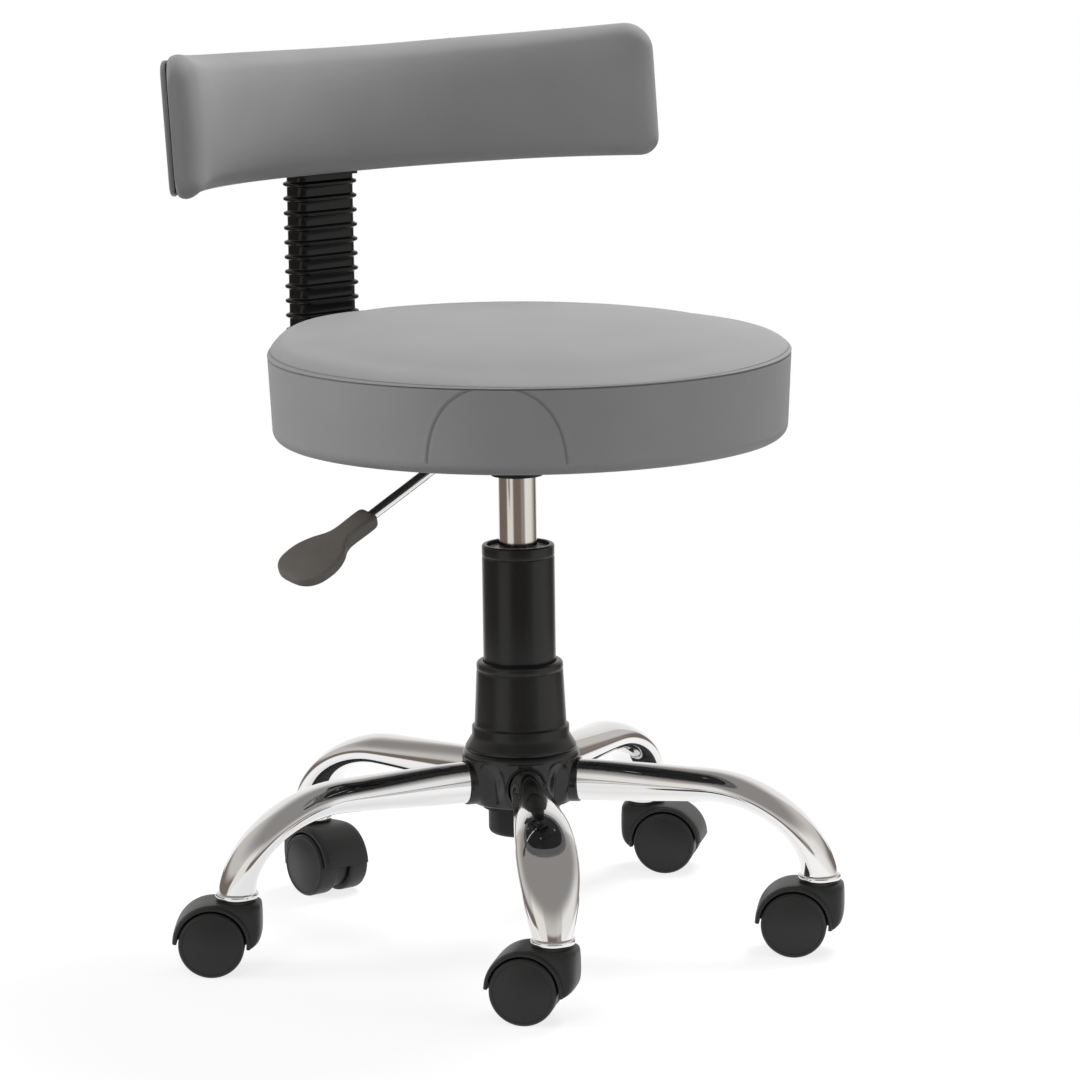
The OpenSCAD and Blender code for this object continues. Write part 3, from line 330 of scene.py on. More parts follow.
def loft(rings):
    mesh = bmesh.new()
    count = len(rings[0])
    verts = [mesh.verts.new(p) for p in rings[0]]
    edges = [mesh.edges.new((verts[i], verts[(i + 1) % count])) for i in range(count)]
    mesh.faces.new(verts)
    for ring in rings[1:]:
        fresh = {g for g in bmesh.ops.extrude_edge_only(mesh, edges=edges)["geom"] if isinstance(g, bmesh.types.BMVert)}
        verts = [next(e.other_vert(v) for e in v.link_edges if e.other_vert(v) in fresh) for v in verts]
        for v, p in zip(verts, ring):
            v.co = p
        edges = [mesh.edges.get((verts[i], verts[(i + 1) % count])) for i in range(count)]
    mesh.faces.new(verts)
    bmesh.ops.recalc_face_normals(mesh, faces=mesh.faces)
    return mesh


def turned(profile, steps=96):
    mesh = bmesh.new()
    verts = [mesh.verts.new((r, 0, z)) for r, z in profile]
    edges = [mesh.edges.new(pair) for pair in zip(verts, verts[1:])]
    bmesh.ops.spin(mesh, geom=verts + edges, cent=(0, 0, 0), axis=(0, 0, 1), angle=2 * math.pi, steps=steps,
                   use_merge=True)
    bmesh.ops.remove_doubles(mesh, verts=mesh.verts, dist=0.000002)
    bmesh.ops.recalc_face_normals(mesh, faces=mesh.faces)
    return mesh


def join(mesh, other):
    data = bpy.data.meshes.new("joined")
    other.to_mesh(data)
    other.free()
    mesh.from_mesh(data)
    bpy.data.meshes.remove(data)


def chrome(name, colour, roughness, wave):
    material = bpy.data.materials.new(name)
    material.use_nodes = True
    tree = material.node_tree
    skin = tree.nodes["Principled BSDF"]
    skin.inputs["Metallic"].default_value = 1
    spot = tree.nodes.new("ShaderNodeTexCoord")
    cloud = tree.nodes.new("ShaderNodeTexNoise")
    cloud.inputs["Scale"].default_value = 30
    tint = tree.nodes.new("ShaderNodeValToRGB")
    tint.color_ramp.elements[0].position = 0.35
    tint.color_ramp.elements[1].position = 0.65
    tint.color_ramp.elements[0].color = [colour[0], colour[1] * 0.985, colour[2] * 0.96, 1]
    tint.color_ramp.elements[1].color = list(colour) + [1]
    gloss = tree.nodes.new("ShaderNodeMapRange")
    gloss.inputs["To Min"].default_value = roughness * 0.7
    gloss.inputs["To Max"].default_value = roughness * 1.3
    ripple = tree.nodes.new("ShaderNodeTexNoise")
    ripple.inputs["Scale"].default_value = 45
    ripple.inputs["Detail"].default_value = 1
    relief = tree.nodes.new("ShaderNodeBump")
    relief.inputs["Strength"].default_value = wave
    relief.inputs["Distance"].default_value = 0.0003
    for texture in (cloud, ripple):
        tree.links.new(spot.outputs["Object"], texture.inputs["Vector"])
    tree.links.new(cloud.outputs["Fac"], tint.inputs["Fac"])
    tree.links.new(tint.outputs["Color"], skin.inputs["Base Color"])
    tree.links.new(cloud.outputs["Fac"], gloss.inputs["Value"])
    tree.links.new(gloss.outputs["Result"], skin.inputs["Roughness"])
    tree.links.new(ripple.outputs["Fac"], relief.inputs["Height"])
    tree.links.new(relief.outputs["Normal"], skin.inputs["Normal"])
    return material


def smooth_table(rows, x, column):
    slopes = []
    for i in range(len(rows)):
        a, b = rows[max(0, i - 1)], rows[min(len(rows) - 1, i + 1)]
        slopes.append((b[column] - a[column]) / (b[0] - a[0]))
    i = max(k for k in range(len(rows) - 1) if rows[k][0] <= x or k == 0)
    step = rows[i + 1][0] - rows[i][0]
    t = (x - rows[i][0]) / step
    return ((2 * t ** 3 - 3 * t ** 2 + 1) * rows[i][column] + (t ** 3 - 2 * t ** 2 + t) * step * slopes[i]
            + (3 * t ** 2 - 2 * t ** 3) * rows[i + 1][column] + (t ** 3 - t ** 2) * step * slopes[i + 1])


def bend_point(t):
    handles = ((bend_start, arm_z), (bend_start + 0.52 * (arm_r - bend_start), arm_z),
               (arm_r, arm_z - 0.48 * (arm_z - socket_z)), (arm_r, socket_z))
    weights = ((1 - t) ** 3, 3 * t * (1 - t) ** 2, 3 * t * t * (1 - t), t ** 3)
    return Vector((sum(w * h[0] for w, h in zip(weights, handles)), sum(w * h[1] for w, h in zip(weights, handles))))


def tube_path():
    straight = [Vector((arm_start + (bend_start - arm_start) * k / 20, arm_z)) for k in range(20)]
    path = straight + [bend_point(k / 40) for k in range(41)]
    for _ in range(3):
        path = [path[0]] + [(a + 2 * b + c) / 4 for a, b, c in zip(path, path[1:], path[2:])] + [path[-1]]
    return path


def arm_angle(i):
    return math.radians(first_arm + 72 * i + arm_turns[i] - 90)


def arm_matrix(i):
    return Matrix.Rotation(arm_angle(i), 4, "Z")


def arm_tube():
    path = tube_path()
    run = [0]
    for a, b in zip(path, path[1:]):
        run.append(run[-1] + (b - a).length)
    rings = []
    for i, p in enumerate(path):
        along = (path[min(i + 1, len(path) - 1)] - path[max(i - 1, 0)]).normalized()
        if i == len(path) - 1:
            along = Vector((0, -1))
        share = run[i] / run[-1]
        w, h = (smooth_table(tube_sections, share, k) / 2000 for k in (1, 2))
        rings.append([Vector((p.x - h * math.sin(a) * along.y, w * math.cos(a), p.y + h * math.sin(a) * along.x))
                      for a in (2 * math.pi * k / tube_sides for k in range(tube_sides))])
    return loft(rings)


bright_chrome = chrome("chrome_tube", (0.80, 0.80, 0.81), 0.05, 0.05)
socket_lip = [(0.0060, 0.0000), (0.0149, 0.0000), (0.0155, 0.0003), (0.0158, 0.0010), (0.0158, 0.0026),
              (0.0155, 0.0036), (0.0149, 0.0043), (0.0144, 0.0047), (0.0060, 0.0047), (0.0060, 0.0000)]
for i in range(5):
    mesh = arm_tube()
    rolled_lip = turned(socket_lip)
    bmesh.ops.translate(rolled_lip, verts=rolled_lip.verts, vec=(arm_r, 0, socket_z))
    join(mesh, rolled_lip)
    bmesh.ops.transform(mesh, matrix=arm_matrix(i), verts=mesh.verts)
    arm = add_piece("arm_tube_%d" % (i + 1), mesh, bright_chrome, "base", 50)
    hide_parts("base_arm_%d" % (i + 1))


# Casters: twin wheels of black nylon on a steel axle, under a moulded hood with a rounded back and a
# raised lip round each wheel. The hood turns on a stem that is pushed into the arm's socket. The wheel
# faces are flat discs with a small chamfered rim.
caster_trail, axle_z = 0.018, 0.024
trail_angles = [126.8, 131.9, 307, 267, 138.5]
web_half, web_r, web_core_r = 0.0052, 0.020, 0.010
hood_lip = [(0.0253, 0.0056), (0.0253, 0.0198), (0.0256, 0.0202), (0.0266, 0.0203), (0.0274, 0.0200),
            (0.0279, 0.0193), (0.0281, 0.0183)]
lip_r, least_hood_r, body_half_w, body_power = hood_lip[-1][0], 0.0284, 0.0180, 0.62
hood_outline = [
    (0, 46.9, 25.0), (1, 45.9, 31.8), (2, 43.0, 38.7), (3, 38.4, 44.6), (4, 32.4, 49.3), (5, 25.4, 52.2), (6, 18, 53.3),
    (7, 8, 53.5), (8, 0, 53.5), (9, -9, 53.4), (10, -14.5, 53.0), (11, -17.4, 50.8), (12, -18.1, 46), (13, -18.2, 40),
    (14, -18.1, 34), (15, -17.6, 28.4), (16, -15.8, 23.8), (17, -12.4, 20.9), (18, -8.8, 20.2)]


def hood_section(step):
    crown = Vector((smooth_table(hood_outline, step, 1) / 1000 - caster_trail,
                    smooth_table(hood_outline, step, 2) / 1000 - axle_z))
    outward = crown.normalized()
    side = list(hood_lip)
    for k in range(11):
        a = math.pi / 2 * k / 10
        side.append((lip_r + (max(crown.length, least_hood_r) - lip_r) * math.sin(a) ** body_power,
                     body_half_w * math.cos(a) ** body_power))
    section = [(web_core_r, web_half)] + side + [(r, -y) for r, y in reversed(side[:-1])] + [(web_core_r, -web_half)]
    return [Vector((caster_trail + r * outward.x, y, axle_z + r * outward.y)) for r, y in section]


def caster_hood():
    mesh = loft([hood_section(18 * k / 90) for k in range(91)])
    web = bmesh.new()
    bmesh.ops.create_cone(web, cap_ends=True, segments=64, radius1=web_r, radius2=web_r, depth=1.9 * web_half)
    bmesh.ops.rotate(web, verts=web.verts, cent=(0, 0, 0), matrix=Matrix.Rotation(math.pi / 2, 3, "X"))
    bmesh.ops.translate(web, verts=web.verts, vec=(caster_trail, 0, axle_z))
    join(mesh, web)
    join(mesh, turned([(0, 0.0500), (0.0146, 0.0500), (0.0146, 0.0540), (0.0142, 0.0543), (0, 0.0543)], 64))
    return mesh


wheel_outline = [
    (0, 0.0058), (0.0214, 0.0058), (0.0230, 0.0062), (0.0238, 0.0071), (0.0240, 0.0083), (0.0240, 0.0204),
    (0.0238, 0.0212), (0.0229, 0.0223), (0.0222, 0.0227), (0.0214, 0.0227), (0.0211, 0.0224), (0.0206, 0.0224),
    (0.0203, 0.0226), (0, 0.0227)]


def caster_wheel(side):
    mesh = turned([(r, y * side) for r, y in wheel_outline])
    bmesh.ops.rotate(mesh, verts=mesh.verts, cent=(0, 0, 0), matrix=Matrix.Rotation(-math.pi / 2, 3, "X"))
    bmesh.ops.translate(mesh, verts=mesh.verts, vec=(caster_trail, 0, axle_z))
    return mesh


caster_nylon = moulded("caster_nylon", [0.018, 0.018, 0.018], 0.42, 1500, 0.35, shine=0.35)
for i in range(5):
    stem = arm_matrix(i) @ Vector((arm_r, 0, 0))
    caster_place = Matrix.Translation(stem) @ Matrix.Rotation(math.radians(trail_angles[i]), 4, "Z")
    mesh = caster_hood()
    bmesh.ops.transform(mesh, matrix=caster_place, verts=mesh.verts)
    hood = add_piece("caster_hood_moulding_%d" % (i + 1), mesh, caster_nylon, "caster_%d" % (i + 1), 35)
    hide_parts("caster_hood_%d" % (i + 1))
    dress(zinc_steel, "caster_axle_%d" % (i + 1))
    for side, word, key in ((1, "left", "l"), (-1, "right", "r")):
        mesh = caster_wheel(side)
        bmesh.ops.transform(mesh, matrix=caster_place, verts=mesh.verts)
        wheel = add_piece("wheel_%s_%d_tyre" % (word, i + 1), mesh, caster_nylon, "wheel_%s_%d" % (key, i + 1),
                          35)
        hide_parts("wheel_%s_%d" % (word, i + 1))


# Gas lift: a satin chrome column slides in a nylon bush at the top of its cylinder and, by its rubber
# gland, on a rod clipped into the cylinder's foot, down to a rubber buffer. The release button is
# pushed into the column's top.
column_chrome = chrome("chrome_column", (0.72, 0.71, 0.69), 0.16, 0.0)
dress(column_chrome, "gas_column")
soft_rubber = moulded("soft_rubber", [0.02, 0.02, 0.02], 0.6)
dress(soft_rubber, "rubber_buffer", "rod_gland")
white_nylon = moulded("white_nylon", [0.8, 0.8, 0.78], 0.4)
dress(white_nylon, "guide_bush", "release_button")


# Hub and column covers: a glossy moulding with a cuff round each arm's root, scooped between the
# arms, and two satin telescoping sleeves that slide over each other above it.
gloss_black = moulded("gloss_black", [0.006, 0.006, 0.006], 0.2, 200, 0.03, shine=0.45)
satin_black = moulded("satin_black", [0.010, 0.010, 0.010], 0.3, 1200, 0.10, shine=0.35)
cuff_wall = [(0.0365, 0.0002), (0.0446, 0.0002), (0.0450, 0.0006), (0.0448, 0.0011), (0.0440, 0.0014),
             (0.0365, 0.0017)]
hub_inner_r, hub_foot_z, hub_top_z = 0.0275, 0.1045, 0.1445
near_arm, far_arm, hub_sectors = math.radians(17), math.radians(36), 240
edge_round, sharp_from = 0.0006, 30
hub_outline = [
    (0.1045, 35.5, 36.5), (0.1049, 36.3, 37.3), (0.1058, 36.8, 38.0), (0.1100, 37.0, 40.0), (0.1160, 37.2, 42.0),
    (0.1215, 37.6, 43.0), (0.1270, 38.6, 43.4), (0.1320, 40.2, 43.5), (0.1365, 42.2, 43.6), (0.1388, 43.2, 43.7),
    (0.1400, 43.5, 43.8), (0.1412, 43.4, 43.4), (0.1430, 42.3, 42.3), (0.1440, 41.4, 41.4), (0.1445, 40.6, 40.6)]


def softened(node):
    mesh = bmesh.new()
    mesh.from_mesh(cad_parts[node].data)
    bmesh.ops.remove_doubles(mesh, verts=mesh.verts, dist=0.000005)
    bmesh.ops.dissolve_limit(mesh, angle_limit=math.radians(0.2), verts=mesh.verts, edges=mesh.edges)
    sharp = [e for e in mesh.edges if e.is_manifold and e.calc_face_angle(0) > math.radians(sharp_from)]
    bmesh.ops.bevel(mesh, geom=sharp, offset=edge_round, offset_type="OFFSET", segments=2, profile=0.5,
                    affect="EDGES", clamp_overlap=True, material=-1)
    return mesh


def closed_band(rings):
    mesh = bmesh.new()
    grid = [[mesh.verts.new(p) for p in ring] for ring in rings]
    loops = [[mesh.edges.new((ring[i], ring[(i + 1) % len(ring)])) for i in range(len(ring))] for ring in grid]
    for k in range(len(loops)):
        bmesh.ops.bridge_loops(mesh, edges=loops[k] + loops[(k + 1) % len(loops)])
    bmesh.ops.recalc_face_normals(mesh, faces=mesh.faces)
    return mesh


def hub_moulding():
    arms = [arm_angle(i) for i in range(5)]
    rings = []
    for k in range(hub_sectors):
        a = 2 * math.pi * k / hub_sectors
        gap = min(abs((a - arm + math.pi) % (2 * math.pi) - math.pi) for arm in arms)
        share = min(1, max(0, (far_arm - gap) / (far_arm - near_arm)))
        share = share * share * (3 - 2 * share)
        wall = [(hub_inner_r, hub_foot_z)] + [((valley + (ridge - valley) * share) / 1000, z)
                                              for z, valley, ridge in hub_outline] + [(hub_inner_r, hub_top_z)]
        rings.append([Vector((r * math.cos(a), r * math.sin(a), z)) for r, z in wall])
    return closed_band(rings)


def arm_cuff():
    rings = []
    w, h = tube_sections[1][1] / 2000, tube_sections[1][2] / 2000
    for k in range(tube_sides):
        a = 2 * math.pi * k / tube_sides
        rings.append([Vector((x, (w + out) * math.cos(a), arm_z + (h + out) * math.sin(a))) for x, out in cuff_wall])
    return closed_band(rings)


hub_mesh = hub_moulding()
for i in range(5):
    cuff = arm_cuff()
    bmesh.ops.transform(cuff, matrix=arm_matrix(i), verts=cuff.verts)
    join(hub_mesh, cuff)
hub_piece = add_piece("hub_cover_moulding", hub_mesh, gloss_black, "base", 35)
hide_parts("hub_cover")
for node in ("lower_cover", "upper_cover"):
    cover = add_piece(node + "_moulding", softened(node), satin_black, "base", 35)
    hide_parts(node)


# Seat cushion: a round foam cushion in smooth grey vinyl, domed on top and sewn to a side band in a
# narrow double-stitched strip, with a curved panel sewn into the band's front. The vinyl is pulled
# under the black stained plywood board and stapled.
seat_centre = Vector((0, -0.0155, 0))
seat_r = 0.190
rim_z, seam_z, crown_h, swell_h, round_share = 0.379, 0.440, 0.0192, 0.0025, 0.8
band_taper, foot_r = 0.0025, 0.009
view_turn = math.radians(41.21)
strip_z, stitch_edge_r = seam_z + 0.0040, 0.18
seam_w, strip_seam_w, seam_depth, strip_puff, strip_puff_w = 0.0006, 0.0005, 0.0010, 0.0004, 0.0014
seam_step, band_step = 0.00032, 0.0010
panel_angle = math.radians(-138.8)
panel_half_w, panel_h, panel_power, panel_reach = 0.0500, 0.0625, 2.3, 0.058
panel_groove, panel_groove_w, panel_ridge, panel_ridge_w = 0.00055, 0.0008, 0.0002, 0.0015
# How far the colour is darkened in the two sewn grooves: painted shade in the creases.
seam_dark, strip_shade_level = 0.55, 0.4
fine_sector = math.radians(36)
rear_left_h, side_tilt_h = 0.0014, 0.0038
left_shoulder_h, right_shoulder_h, shoulder_at, shoulder_w = 0.0042, 0.0018, 0.93, 0.07
held_foot, puff_pressure, crown_calm, crown_voxel = 0.0015, 4, 24, 0.006


def vinyl(name, colour, seams):
    material = bpy.data.materials.new(name)
    material.use_nodes = True
    tree = material.node_tree
    skin = tree.nodes["Principled BSDF"]
    skin.inputs["Specular IOR Level"].default_value = 0.2
    spot = tree.nodes.new("ShaderNodeTexCoord")
    cloud = tree.nodes.new("ShaderNodeTexNoise")
    cloud.inputs["Scale"].default_value = 14
    cloud.inputs["Detail"].default_value = 4
    tree.links.new(spot.outputs["Object"], cloud.inputs["Vector"])
    tint = tree.nodes.new("ShaderNodeValToRGB")
    tint.color_ramp.elements[0].position = 0.3
    tint.color_ramp.elements[1].position = 0.7
    tint.color_ramp.elements[0].color = [c * 0.96 for c in colour] + [1]
    tint.color_ramp.elements[1].color = [c * 1.04 for c in colour] + [1]
    tree.links.new(cloud.outputs["Fac"], tint.inputs["Fac"])
    base = tint.outputs["Color"]
    # Painted shade: where the mask is set, the colour falls towards 30% of itself for the sewn grooves.
    if seams:
        groove_shade = tree.nodes.new("ShaderNodeAttribute")
        groove_shade.attribute_name = "seam"
        darker = tree.nodes.new("ShaderNodeMix")
        darker.data_type = "RGBA"
        darker.inputs["B"].default_value = [c * 0.30 for c in colour] + [1]
        tree.links.new(groove_shade.outputs["Fac"], darker.inputs["Factor"])
        tree.links.new(base, darker.inputs["A"])
        base = darker.outputs["Result"]
    tree.links.new(base, skin.inputs["Base Color"])
    pores = tree.nodes.new("ShaderNodeTexVoronoi")
    pores.inputs["Scale"].default_value = 1100
    grain = tree.nodes.new("ShaderNodeTexNoise")
    grain.inputs["Scale"].default_value = 520
    grain.inputs["Detail"].default_value = 3
    for texture in (pores, grain):
        tree.links.new(spot.outputs["Object"], texture.inputs["Vector"])
    pits = tree.nodes.new("ShaderNodeBump")
    pits.inputs["Strength"].default_value = 0.10
    pits.inputs["Distance"].default_value = 0.0002
    waves = tree.nodes.new("ShaderNodeBump")
    waves.inputs["Strength"].default_value = 0.12
    waves.inputs["Distance"].default_value = 0.0004
    tree.links.new(pores.outputs["Distance"], pits.inputs["Height"])
    tree.links.new(grain.outputs["Fac"], waves.inputs["Height"])
    tree.links.new(pits.outputs["Normal"], waves.inputs["Normal"])
    tree.links.new(waves.outputs["Normal"], skin.inputs["Normal"])
    sheen = tree.nodes.new("ShaderNodeMapRange")
    sheen.inputs["To Min"].default_value = 0.56
    sheen.inputs["To Max"].default_value = 0.66
    tree.links.new(cloud.outputs["Fac"], sheen.inputs["Value"])
    tree.links.new(sheen.outputs["Result"], skin.inputs["Roughness"])
    return material


def bell(distance, width):
    return math.exp(-(distance / width) ** 2)


def seam_groove(z):
    return bell(z - seam_z, seam_w) + 0.75 * bell(z - strip_z, strip_seam_w)


def band_radius(z):
    if z >= seam_z:
        return seat_r * (1 - ((z - seam_z) / crown_h) ** 2) ** (1 / 6)
    return seat_r - band_taper * (seam_z - z) / (seam_z - rim_z - foot_r)


def seat_profile():
    crown = [0, 0.03, 0.08, 0.15, 0.23, 0.31, 0.39, 0.47, 0.54, 0.61, 0.67, 0.725, 0.77, 0.81, 0.845, 0.875,
             0.90, 0.92, 0.937, 0.951, 0.963, 0.973, 0.981]
    points = [(seat_r * t, seam_z + crown_h * math.sqrt(1 - t ** 6)) for t in crown]
    z = seam_z + 0.0062
    while z > seam_z - 0.0022:
        puff = strip_puff * bell(z - (seam_z + strip_z) / 2, strip_puff_w)
        points.append((band_radius(z) - seam_depth * seam_groove(z) + puff, z))
        z -= seam_step
    while z > rim_z + foot_r:
        points.append((band_radius(z), z))
        z -= band_step
    foot = seat_r - band_taper - foot_r
    for k in range(9):
        a = -math.pi / 2 * k / 8
        points.append((foot + foot_r * math.cos(a), rim_z + foot_r + foot_r * math.sin(a)))
    return points + [(0.1715, 0.3792), (0.1672, 0.3812), (0.1620, 0.3846), (0.1540, 0.3856), (0.1460, 0.3857),
                     (0.1455, 0.3900), (0.1300, 0.3910), (0, 0.3910)]


def panel_distance(side, z):
    across = abs(side) / panel_half_w
    up = max(0.0, (z - rim_z) / panel_h)
    level = across ** panel_power + up ** panel_power - 1
    slope = math.hypot(across ** (panel_power - 1) / panel_half_w, up ** (panel_power - 1) / panel_h)
    return level / max(panel_power * slope, 1)


def simulated(mesh, held, pressure, reach, calm, voxel=0):
    put_in_order(mesh)
    scene = bpy.context.scene
    data = bpy.data.meshes.new("soft")
    mesh.to_mesh(data)
    soft = bpy.data.objects.new("soft", data)
    scene.collection.objects.link(soft)
    if voxel:
        remesh = soft.modifiers.new("remesh", "REMESH")
        remesh.mode = "VOXEL"
        remesh.voxel_size = voxel
        data = bpy.data.meshes.new_from_object(soft.evaluated_get(bpy.context.evaluated_depsgraph_get()))
        soft.modifiers.clear()
        soft.data = data
    rest = [v.co.copy() for v in data.vertices]
    faces = [list(face.vertices) for face in data.polygons]
    pins = soft.vertex_groups.new(name="held")
    pins.add([i for i, p in enumerate(rest) if held(p)], 1, "REPLACE")
    cloth = soft.modifiers.new("cloth", "CLOTH")
    cloth.settings.vertex_group_mass = "held"
    cloth.settings.use_pressure = True
    cloth.settings.uniform_pressure_force = pressure
    cloth.settings.effector_weights.gravity = 0
    for number in range(1, 21):
        scene.frame_set(number)
    seen = soft.evaluated_get(bpy.context.evaluated_depsgraph_get())
    moves = [v.co - p for v, p in zip(seen.data.vertices, rest)]
    bpy.data.objects.remove(soft)
    scene.frame_set(1)
    near = [set() for _ in rest]
    for face in faces:
        for i, j in zip(face, face[1:] + face[:1]):
            near[i].add(j)
            near[j].add(i)
    fixed = [held(p) for p in rest]
    for _ in range(calm):
        moves = [m if still else sum((moves[j] for j in ring), Vector()) / len(ring)
                 for m, still, ring in zip(moves, fixed, near)]
    capped = [m * (reach * math.tanh(m.length / reach) / max(m.length, 1e-9)) for m in moves]
    return faces, rest, [p + m for p, m in zip(rest, capped)]


def swollen_crown():
    dome = turned([(0, seam_z - 0.012), (seat_r, seam_z - 0.012)]
                  + [(r, z) for r, z in reversed(seat_profile()) if z > seam_z - 0.002])
    faces, rest, moved = simulated(dome, lambda p: p.z < seam_z + held_foot, puff_pressure, swell_h, crown_calm,
                                   crown_voxel)
    trees = [BVHTree.FromPolygons(points, faces) for points in (rest, moved)]
    return lambda x, y: [tree.ray_cast(Vector((x, y, 1)), Vector((0, 0, -1)))[0] for tree in trees]


cushion_mesh = bmesh.new()
start_angle = panel_angle - fine_sector / 2
for angle, steps in ((fine_sector, 120), (fine_sector - 2 * math.pi, 162)):
    outline = [cushion_mesh.verts.new((r * math.cos(start_angle), r * math.sin(start_angle), z))
               for r, z in seat_profile()]
    threads = [cushion_mesh.edges.new(pair) for pair in zip(outline, outline[1:])]
    bmesh.ops.spin(cushion_mesh, geom=outline + threads, cent=(0, 0, 0), axis=(0, 0, 1), angle=angle, steps=steps)
bmesh.ops.remove_doubles(cushion_mesh, verts=cushion_mesh.verts, dist=0.00002)
bmesh.ops.recalc_face_normals(cushion_mesh, faces=cushion_mesh.faces)

seam_mask = cushion_mesh.verts.layers.float.new("seam")
crown_pair = swollen_crown()
for v in cushion_mesh.verts:
    x, y, z = v.co
    r = math.hypot(x, y)
    right = (x * math.cos(view_turn) - y * math.sin(view_turn)) / seat_r
    away = (x * math.sin(view_turn) + y * math.cos(view_turn)) / seat_r
    # Painted shade: this mask darkens the vinyl's colour in the sewn grooves and round the panel's groove.
    mask = 0.0
    if r > stitch_edge_r and z > rim_z + foot_r:
        mask = seam_dark * bell(z - seam_z, 0.0007) + strip_shade_level * bell(z - strip_z, 0.0006)
        side = ((math.atan2(y, x) - panel_angle + math.pi) % (2 * math.pi) - math.pi) * seat_r
        if z < seam_z - 0.0008 and abs(side) < panel_reach:
            d = panel_distance(side, z)
            ridge = panel_ridge * bell(d - 0.002, panel_ridge_w)
            v.co -= Vector((x, y, 0)) / r * (panel_groove * bell(d, panel_groove_w) - ridge)
            mask = max(mask, seam_dark * bell(d, panel_groove_w))
    v[seam_mask] = mask
    if z > seam_z + 0.001:
        lift = min(1, (z - seam_z) / crown_h)
        facing = min(1, max(0, 0.2 - (0.9 * away + 0.15 * right) / max(0.01, math.hypot(right, away))))
        soft = round_share * facing * facing * (3 - 2 * facing)
        dome = seam_z + crown_h * max(0, 1 - (r / seat_r) ** 2) ** 0.8
        rear_left = rear_left_h * bell(right + 0.7, 0.3) * bell(away - 0.5, 0.4)
        v.co.z += soft * (min(z, dome) - z) + lift * (rear_left - side_tilt_h * right)
        shoulder = left_shoulder_h * bell(right + 1, 0.55) + right_shoulder_h * bell(right - 1, 0.5)
        v.co.z += shoulder * bell(r / seat_r - shoulder_at, shoulder_w) * min(1, 2 * lift)
        before, after = crown_pair(x, y) if crown_pair else (None, None)
        if before and after:
            v.co.z += lift * (after.z - before.z)
bmesh.ops.translate(cushion_mesh, verts=cushion_mesh.verts, vec=seat_centre)

grey_vinyl = vinyl("grey_vinyl", [0.245, 0.245, 0.247], True)
seat_cushion = add_piece("seat_cushion", cushion_mesh, grey_vinyl, "seat", 60)
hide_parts("seat_cover", "seat_foam")

black_stain = moulded("black_stain", [0.012, 0.012, 0.012], 0.6, 700, 0.5, shine=0.3)
dress(black_stain, "seat_board")


# Release lever: a bent chrome rod on the sitter's right, with a moulded paddle of dark grey plastic
# pushed onto its end. The paddle widens from a square grip to a flat leaf-shaped blade.
elbow_out, lever_reach = 0.048, 0.215
lever_elbow = Vector((-elbow_out, 0, 0.377))
lever_bend, paddle_roll = math.radians(25), math.radians(16)
paddle_end = (lever_reach - elbow_out) / math.cos(lever_bend)
paddle_len, paddle_w, paddle_t = 0.084, 0.042, 0.012
paddle_sections = [
    (0.00, 0.30, 0.55), (0.02, 0.38, 0.85), (0.06, 0.42, 1.00), (0.34, 0.42, 1.00), (0.42, 0.52, 0.92),
    (0.52, 0.78, 0.78), (0.64, 0.96, 0.72), (0.75, 1.00, 0.70), (0.86, 0.94, 0.66), (0.94, 0.74, 0.60),
    (0.985, 0.44, 0.46), (1.00, 0.20, 0.28)]
along_lever = (Matrix.Translation(lever_elbow) @ Matrix.Rotation(-math.pi / 2 - lever_bend, 4, "Y")
               @ Matrix.Rotation(-paddle_roll, 4, "Z"))


def rounded_ring(w, d, corner, z, steps=8):
    points = []
    for quarter, (sx, sy) in enumerate(((1, 1), (-1, 1), (-1, -1), (1, -1))):
        for k in range(steps + 1):
            a = math.pi / 2 * (quarter + k / steps)
            points.append(Vector((sx * (w / 2 - corner) + corner * math.cos(a),
                                  sy * (d / 2 - corner) + corner * math.sin(a), z)))
    return points


rings = []
for k in range(57):
    share = k / 56
    w, t = paddle_w * smooth_table(paddle_sections, share, 1), paddle_t * smooth_table(paddle_sections, share, 2)
    rings.append([along_lever @ p for p in rounded_ring(t, w, 0.3 * t, paddle_end - paddle_len * (1 - share), 5)])
dark_grip = moulded("dark_grip", [0.115, 0.106, 0.097], 0.5, 1500, 0.4, shine=0.3)
paddle = add_piece("lever_grip", loft(rings), dark_grip, "lever", 50)
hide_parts("lever_paddle")
dress(bright_chrome, "lever_rod")


# Bellows: a glossy black rubber sleeve of fourteen thin ribs round the upright bar. It is closed at
# its foot.
post_y = 0.223
bellows_foot, bellows_top, rib_count = 0.398, 0.5537, 14
rib_pitch = (bellows_top - bellows_foot) / rib_count
rib_outline = [(-0.5, 0), (-0.24, 0), (-0.19, 0.06), (-0.15, 0.40), (-0.11, 0.80), (-0.05, 0.98), (0.05, 0.98),
               (0.11, 0.80), (0.15, 0.40), (0.19, 0.06), (0.24, 0)]
core_w, core_d, core_corner = 0.054, 0.022, 0.007
rib_out = 0.003

rings = []
for rib in range(rib_count):
    for up, out in rib_outline:
        grow = 2 * rib_out * out
        rings.append([p + Vector((0, post_y, 0)) for p in rounded_ring(
            core_w + grow, core_d + grow, core_corner + grow / 2, bellows_foot + rib_pitch * (rib + 0.5 + up))])
rings.append([p + Vector((0, post_y, 0)) for p in rounded_ring(core_w, core_d, core_corner, bellows_top)])
gloss_rubber = moulded("black_rubber", [0.005, 0.005, 0.005], 0.16, 300, 0.05, shine=0.25)
sleeve = add_piece("bellows_sleeve", loft(rings), gloss_rubber, None, 50)
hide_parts("bellows")
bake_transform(sleeve)


